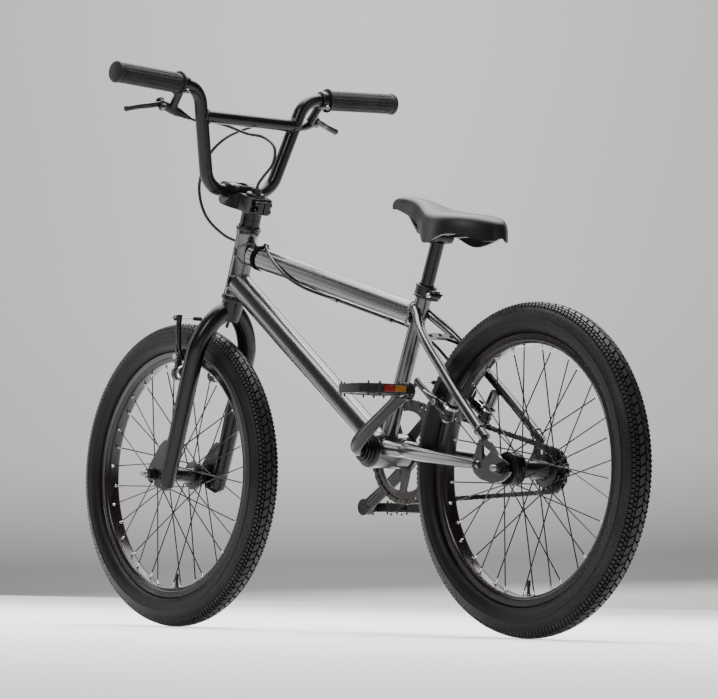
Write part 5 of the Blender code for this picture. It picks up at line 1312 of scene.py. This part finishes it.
def arm_top(pivot, lift, post_axis):
    return Vector((pivot.x, -pivot.y, pivot.z)) + lift * (ARM_LENGTH - 4) + Vector((0, 3.7, 0)) + post_axis * 3.0


def round_top_tube(x, degrees):
    """A point on a line that winds round the top tube, from its top towards its left side."""
    axis = Vector((262.0, 0, 623.8)) + Vector((x - 262.0, 0, (x - 262.0) * 0.2708))
    up = Vector((-0.2614, 0, 0.9652))
    angle = math.radians(degrees)
    return axis + (up * math.cos(angle) + Vector((0, 1, 0)) * math.sin(angle)) * (TOP_TUBE_R + JACKET_R + 0.5)


def front_cable_route():
    way = (LEVER_PIVOT - CABLE_EXIT).normalized()
    top = arm_top(FRONT_PIVOT, FRONT_LIFT, FRONT_POST)
    upper = [CABLE_EXIT + way * 4, CABLE_EXIT - way * 8, (302, 95, 845), (311, 62, 848), (307, 22, 842), (291, -4, 831),
             (266, -21, 824), (243, -27, 806), (238, -21, 778), (244, -7, 756), head(136), head(118)]
    lower = [head(-98), head(-112, 6, -3), head(-112, 22, -14), (383, -36, 535), (402, -55, 541),
             top + Vector((0, -26, 4)), top + Vector((0, -15, 0))]
    return upper, lower, top


def rear_cable_route():
    pivot, exit_point = sided(-1, (LEVER_PIVOT, CABLE_EXIT))
    way = (pivot - exit_point).normalized()
    top = arm_top(REAR_PIVOT, REAR_LIFT, REAR_POST)
    wrap = [round_top_tube(x, degrees) for x, degrees in
            ((254, -52), (236, -12), (214, 28), (188, 62), (160, 92), (132, 124), (100, 152), (66, 172), (30, 180),
             (-50, 180), (-110, 181), (-134, 186))]
    path = [exit_point + way * 4, exit_point - way * 8, (303, -88, 846), (313, -55, 850), (314, -20, 842),
            (323, 18, 822),
            (337, 41, 790), (357, 43, 742), (351, 33, 694), (333, 8, 662), (312, -13, 649), (288, -25, 642), *wrap,
            (-156, -12, 484), (-172, -18.5, 474), (-192, -28, 455), (-210, -44, 428), (-221, -60, 408),
            top + Vector((0, -24, 2)), top + Vector((0, -15, 0))]
    return path, top


def bare_wire(top):
    """The noodle's end, its rubber boot's core and the wire on to the other arm."""
    return joined(rod(top + Vector((0, -9, 0)), Vector((top.x, -top.y + 9.0, top.z)), WIRE_R, 10),
                  rod(top + Vector((0, -14.5, 0)), top + Vector((0, -6.5, 0)), 2.2, 16))


def boot(top):
    """The ribbed rubber sleeve round the wire between the two arms."""
    profile = [(-8.0, 0.9), (-8.0, 3.0)]
    along = -7.0
    while along < 8.0:
        profile += [(along, 3.4), (along + 1.2, 3.4), (along + 1.6, 2.6), (along + 2.2, 2.6)]
        along += 2.6
    profile += [(9.2, 2.0), (9.2, 0.9)]
    return lathe(profile, Vector((top.x, -4.0, top.z)), (0, 1, 0), 24)


def collar(half, inner, outer, centre, way, segments):
    """A plain ring with square edges."""
    return lathe([(-half, inner), (-half, outer), (half, outer), (half, inner)], centre, way, segments)


def band(name, x, degrees):
    """A strap round the top tube that holds the cable against it."""
    centre = Vector((x, 0, 623.8 + (x - 262.0) * 0.2708))
    way = Vector((0.9652, 0, 0.2614))
    strap = collar(5.0, TOP_TUBE_R + 0.1, TOP_TUBE_R + 1.8, centre, way, 64)
    place = round_top_tube(x, degrees)
    ring = collar(3.5, JACKET_R + 0.05, JACKET_R + 1.3, place, way, 24)
    piece(name, joined(strap, ring), GROOVE_SHADE_AND_STRAP_BLACK, "frame", "black_paint")


def guide(name, x):
    """A small welded loop under the top tube that the cable runs through."""
    way = Vector((0.9652, 0, 0.2614))
    place = round_top_tube(x, 180)
    ring = collar(6, JACKET_R + 0.05, JACKET_R + 1.5, place, way, 24)
    piece(name, ring, FRAME_PAINT, "frame", "frame_paint")


def build_cables():
    upper, lower, top = front_cable_route()
    jacket = joined(sweep(curved(upper), JACKET_R, 20), sweep(curved(lower), JACKET_R, 20))
    piece("front_cable_jacket", jacket, JACKET, "steering", "cable_jacket", "front_brake_cable")
    piece("front_cable_wire", bare_wire(top), STEEL, "steering", "cable_jacket")
    piece("front_cable_boot", boot(top), GRIP, "steering", "cable_jacket")

    path, top = rear_cable_route()
    jacket = piece("rear_cable_jacket", sweep(curved(path), JACKET_R, 20), JACKET, None, "cable_jacket",
                   "rear_brake_cable")
    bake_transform(jacket)
    piece("rear_cable_wire", bare_wire(top), STEEL, "frame", "cable_jacket")
    piece("rear_cable_boot", boot(top), GRIP, "frame", "cable_jacket")
    band("cable_band_front", 236, -12)
    guide("cable_guide_middle", 30)
    guide("cable_guide_rear", -110)


# ---- floor, light and camera ------------------------------------------------------------------------------
ACROSS = Vector((0.6263, 0.7796, 0))
AWAY = Vector((0.7796, -0.6263, 0))
WALL_DISTANCE = 13.0
WALL_HEIGHT = 9.0
STAGE_HALF_WIDTH = 14.0
CAMERA_PLACE = (-5.061, 4.0556, 0.0724)
CAMERA_AWAY = (0.77729, -0.62634, 0.05929)
CAMERA_ROLL = math.radians(1.21)
CAMERA_LENS = 201.2


# The floor glows as well as taking the lamps: painted light, its glow growing from 0.30 to 0.85 between 1.5 m and 6 m
# along the view.
def floor_material():
    mat = bpy.data.materials.new("floor")
    mat.use_nodes = True
    shader = mat.node_tree.nodes["Principled BSDF"]
    shader.inputs["Base Color"].default_value = (0.86, 0.865, 0.875, 1.0)
    shader.inputs["Roughness"].default_value = 0.55
    shader.inputs["Specular IOR Level"].default_value = 0.25
    shader.inputs["Emission Color"].default_value = (0.95, 0.97, 1.0, 1.0)
    tree = mat.node_tree
    place = tree.nodes.new("ShaderNodeTexCoord")
    apart = tree.nodes.new("ShaderNodeSeparateXYZ")
    glow = tree.nodes.new("ShaderNodeMapRange")
    glow.inputs["From Min"].default_value = 1.5
    glow.inputs["From Max"].default_value = 6.0
    glow.inputs["To Min"].default_value = 0.30
    glow.inputs["To Max"].default_value = 0.85
    tree.links.new(place.outputs["Object"], apart.inputs["Vector"])
    tree.links.new(apart.outputs["Y"], glow.inputs["Value"])
    tree.links.new(glow.outputs["Result"], shader.inputs["Emission Strength"])
    return mat


def wall_material():
    """A glowing wall with painted light and shade: a thin bright line at its foot, painted shade darkest just above
    where it meets the floor and lightening upwards, and painted shade towards its sides, so it is a little brighter in
    its middle.
    """
    mat = bpy.data.materials.new("wall")
    mat.use_nodes = True
    tree = mat.node_tree
    tree.nodes.clear()
    place = tree.nodes.new("ShaderNodeTexCoord")
    apart = tree.nodes.new("ShaderNodeSeparateXYZ")
    height = tree.nodes.new("ShaderNodeMapRange")
    height.inputs["From Max"].default_value = 3.4
    ramp = tree.nodes.new("ShaderNodeValToRGB")
    # Painted shade up the wall's height: bright at the foot line, darkest about 7 to 20 cm up, lightening towards the
    # top.
    stops = ((0.0, 0.50), (0.008, 0.38), (0.022, 0.175), (0.058, 0.165), (0.13, 0.265), (0.21, 0.36), (0.42, 0.40),
             (0.81, 0.42))
    while len(ramp.color_ramp.elements) < len(stops):
        ramp.color_ramp.elements.new(0.5)
    for element, (position, value) in zip(ramp.color_ramp.elements, stops):
        element.position = position
        element.color = (value, value * 0.99, value * 0.965, 1.0)
    middle = tree.nodes.new("ShaderNodeMath")
    middle.operation = "ABSOLUTE"
    # Painted shade towards the sides: the glow falls from 2.3 in the middle to 1.76 beyond 2.2 m out.
    sides = tree.nodes.new("ShaderNodeMapRange")
    sides.interpolation_type = "SMOOTHSTEP"
    sides.inputs["From Max"].default_value = 2.2
    sides.inputs["To Min"].default_value = 2.3
    sides.inputs["To Max"].default_value = 1.76
    glow = tree.nodes.new("ShaderNodeEmission")
    out = tree.nodes.new("ShaderNodeOutputMaterial")
    tree.links.new(place.outputs["Object"], apart.inputs["Vector"])
    lift = tree.nodes.new("ShaderNodeMath")
    lift.operation = "MULTIPLY_ADD"
    lift.inputs[1].default_value = 0.045
    tree.links.new(apart.outputs["X"], lift.inputs[0])
    tree.links.new(apart.outputs["Z"], lift.inputs[2])
    tree.links.new(lift.outputs["Value"], height.inputs["Value"])
    tree.links.new(height.outputs["Result"], ramp.inputs["Fac"])
    tree.links.new(apart.outputs["X"], middle.inputs[0])
    tree.links.new(middle.outputs["Value"], sides.inputs["Value"])
    tree.links.new(ramp.outputs["Color"], glow.inputs["Color"])
    tree.links.new(sides.outputs["Result"], glow.inputs["Strength"])
    tree.links.new(glow.outputs["Emission"], out.inputs["Surface"])
    return mat


def flat_stage(name, corners, material, turn):
    """A four-cornered sheet whose own X axis lies across the view."""
    mesh = bpy.data.meshes.new(name)
    mesh.from_pydata(corners, [], [[0, 1, 2, 3]])
    mesh.materials.append(material)
    obj = bpy.data.objects.new(name, mesh)
    bpy.context.scene.collection.objects.link(obj)
    obj.matrix_world = turn


def build_studio():
    turn = Matrix((ACROSS, AWAY, (0, 0, 1))).transposed().to_4x4()
    far, half, high = WALL_DISTANCE, STAGE_HALF_WIDTH, WALL_HEIGHT
    flat_stage("floor", [(-half, -half, 0), (half, -half, 0), (half, far, 0), (-half, far, 0)], floor_material(), turn)
    flat_stage("wall", [(-half, far, 0), (half, far, 0), (half, far, high), (-half, far, high)], wall_material(), turn)


def area_light(name, place, target, size, power):
    light = bpy.data.lights.new(name, "AREA")
    light.shape = "RECTANGLE"
    light.size, light.size_y = size
    light.energy = power
    obj = bpy.data.objects.new(name, light)
    bpy.context.scene.collection.objects.link(obj)
    obj.location = place
    obj.rotation_euler = (Vector(target) - Vector(place)).to_track_quat("-Z", "Y").to_euler()


def build_light():
    area_light("overhead", (0.2, 0.0, 3.2), (0.1, 0, 0.3), (2.2, 2.2), 190)
    area_light("key_left", (-1.2, 3.0, 2.4), (0, 0, 0.5), (0.8, 1.4), 62)
    area_light("fill_rear", (-3.4, -0.6, 1.2), (-0.2, 0, 0.4), (0.8, 2.0), 18)
    area_light("rim_front", (2.8, 1.6, 1.4), (0.3, 0, 0.5), (0.9, 2.2), 30)
    area_light("floor_wash", (2.2, -1.6, 3.4), (2.4, -1.9, 0.0), (4.4, 4.4), 420)
    world = bpy.data.worlds.new("studio")
    world.use_nodes = True
    world.node_tree.nodes["Background"].inputs["Color"].default_value = (0.9, 0.92, 0.95, 1.0)
    world.node_tree.nodes["Background"].inputs["Strength"].default_value = 0.08
    bpy.context.scene.world = world


def build_camera():
    away = Vector(CAMERA_AWAY).normalized()
    right = away.cross(Vector((0, 0, 1))).normalized()
    up = right.cross(away)
    turned_right = right * math.cos(CAMERA_ROLL) + up * math.sin(CAMERA_ROLL)
    turned_up = up * math.cos(CAMERA_ROLL) - right * math.sin(CAMERA_ROLL)
    camera = bpy.data.cameras.new("camera")
    camera.sensor_width = 36.0
    camera.lens = CAMERA_LENS
    obj = bpy.data.objects.new("camera", camera)
    bpy.context.scene.collection.objects.link(obj)
    rotation = Matrix((turned_right, turned_up, -away)).transposed()
    obj.matrix_world = Matrix.Translation(CAMERA_PLACE) @ rotation.to_4x4()
    bpy.context.scene.camera = obj


# ---- the whole ---------------------------------------------------------------------------------------------
def main():
    build_frame_tubes()
    build_stays()
    build_headset()
    build_fork()
    build_stem()
    build_bar()
    build_grips()
    build_levers()
    build_wheel("front", FRONT_AXLE, (33.4, -33.4), 24.0, FRONT_HUB)
    build_wheel("rear", REAR_AXLE, (36.9, -33.9), 26.0, REAR_HUB)
    build_dust_rings()
    build_axles()
    build_crank()
    build_pedals()
    build_chain()
    build_freewheel()
    build_bottom_bracket()
    for side, name in LEFT_AND_RIGHT:
        build_brake("front", FRONT_PIVOT, FRONT_POST, FRONT_LIFT, side, name, FRONT_AXLE)
        build_brake("rear", REAR_PIVOT, REAR_POST, REAR_LIFT, side, name, REAR_AXLE)
    build_saddle()
    build_seat_post()
    build_cables()
    build_studio()
    build_light()
    build_camera()


main()
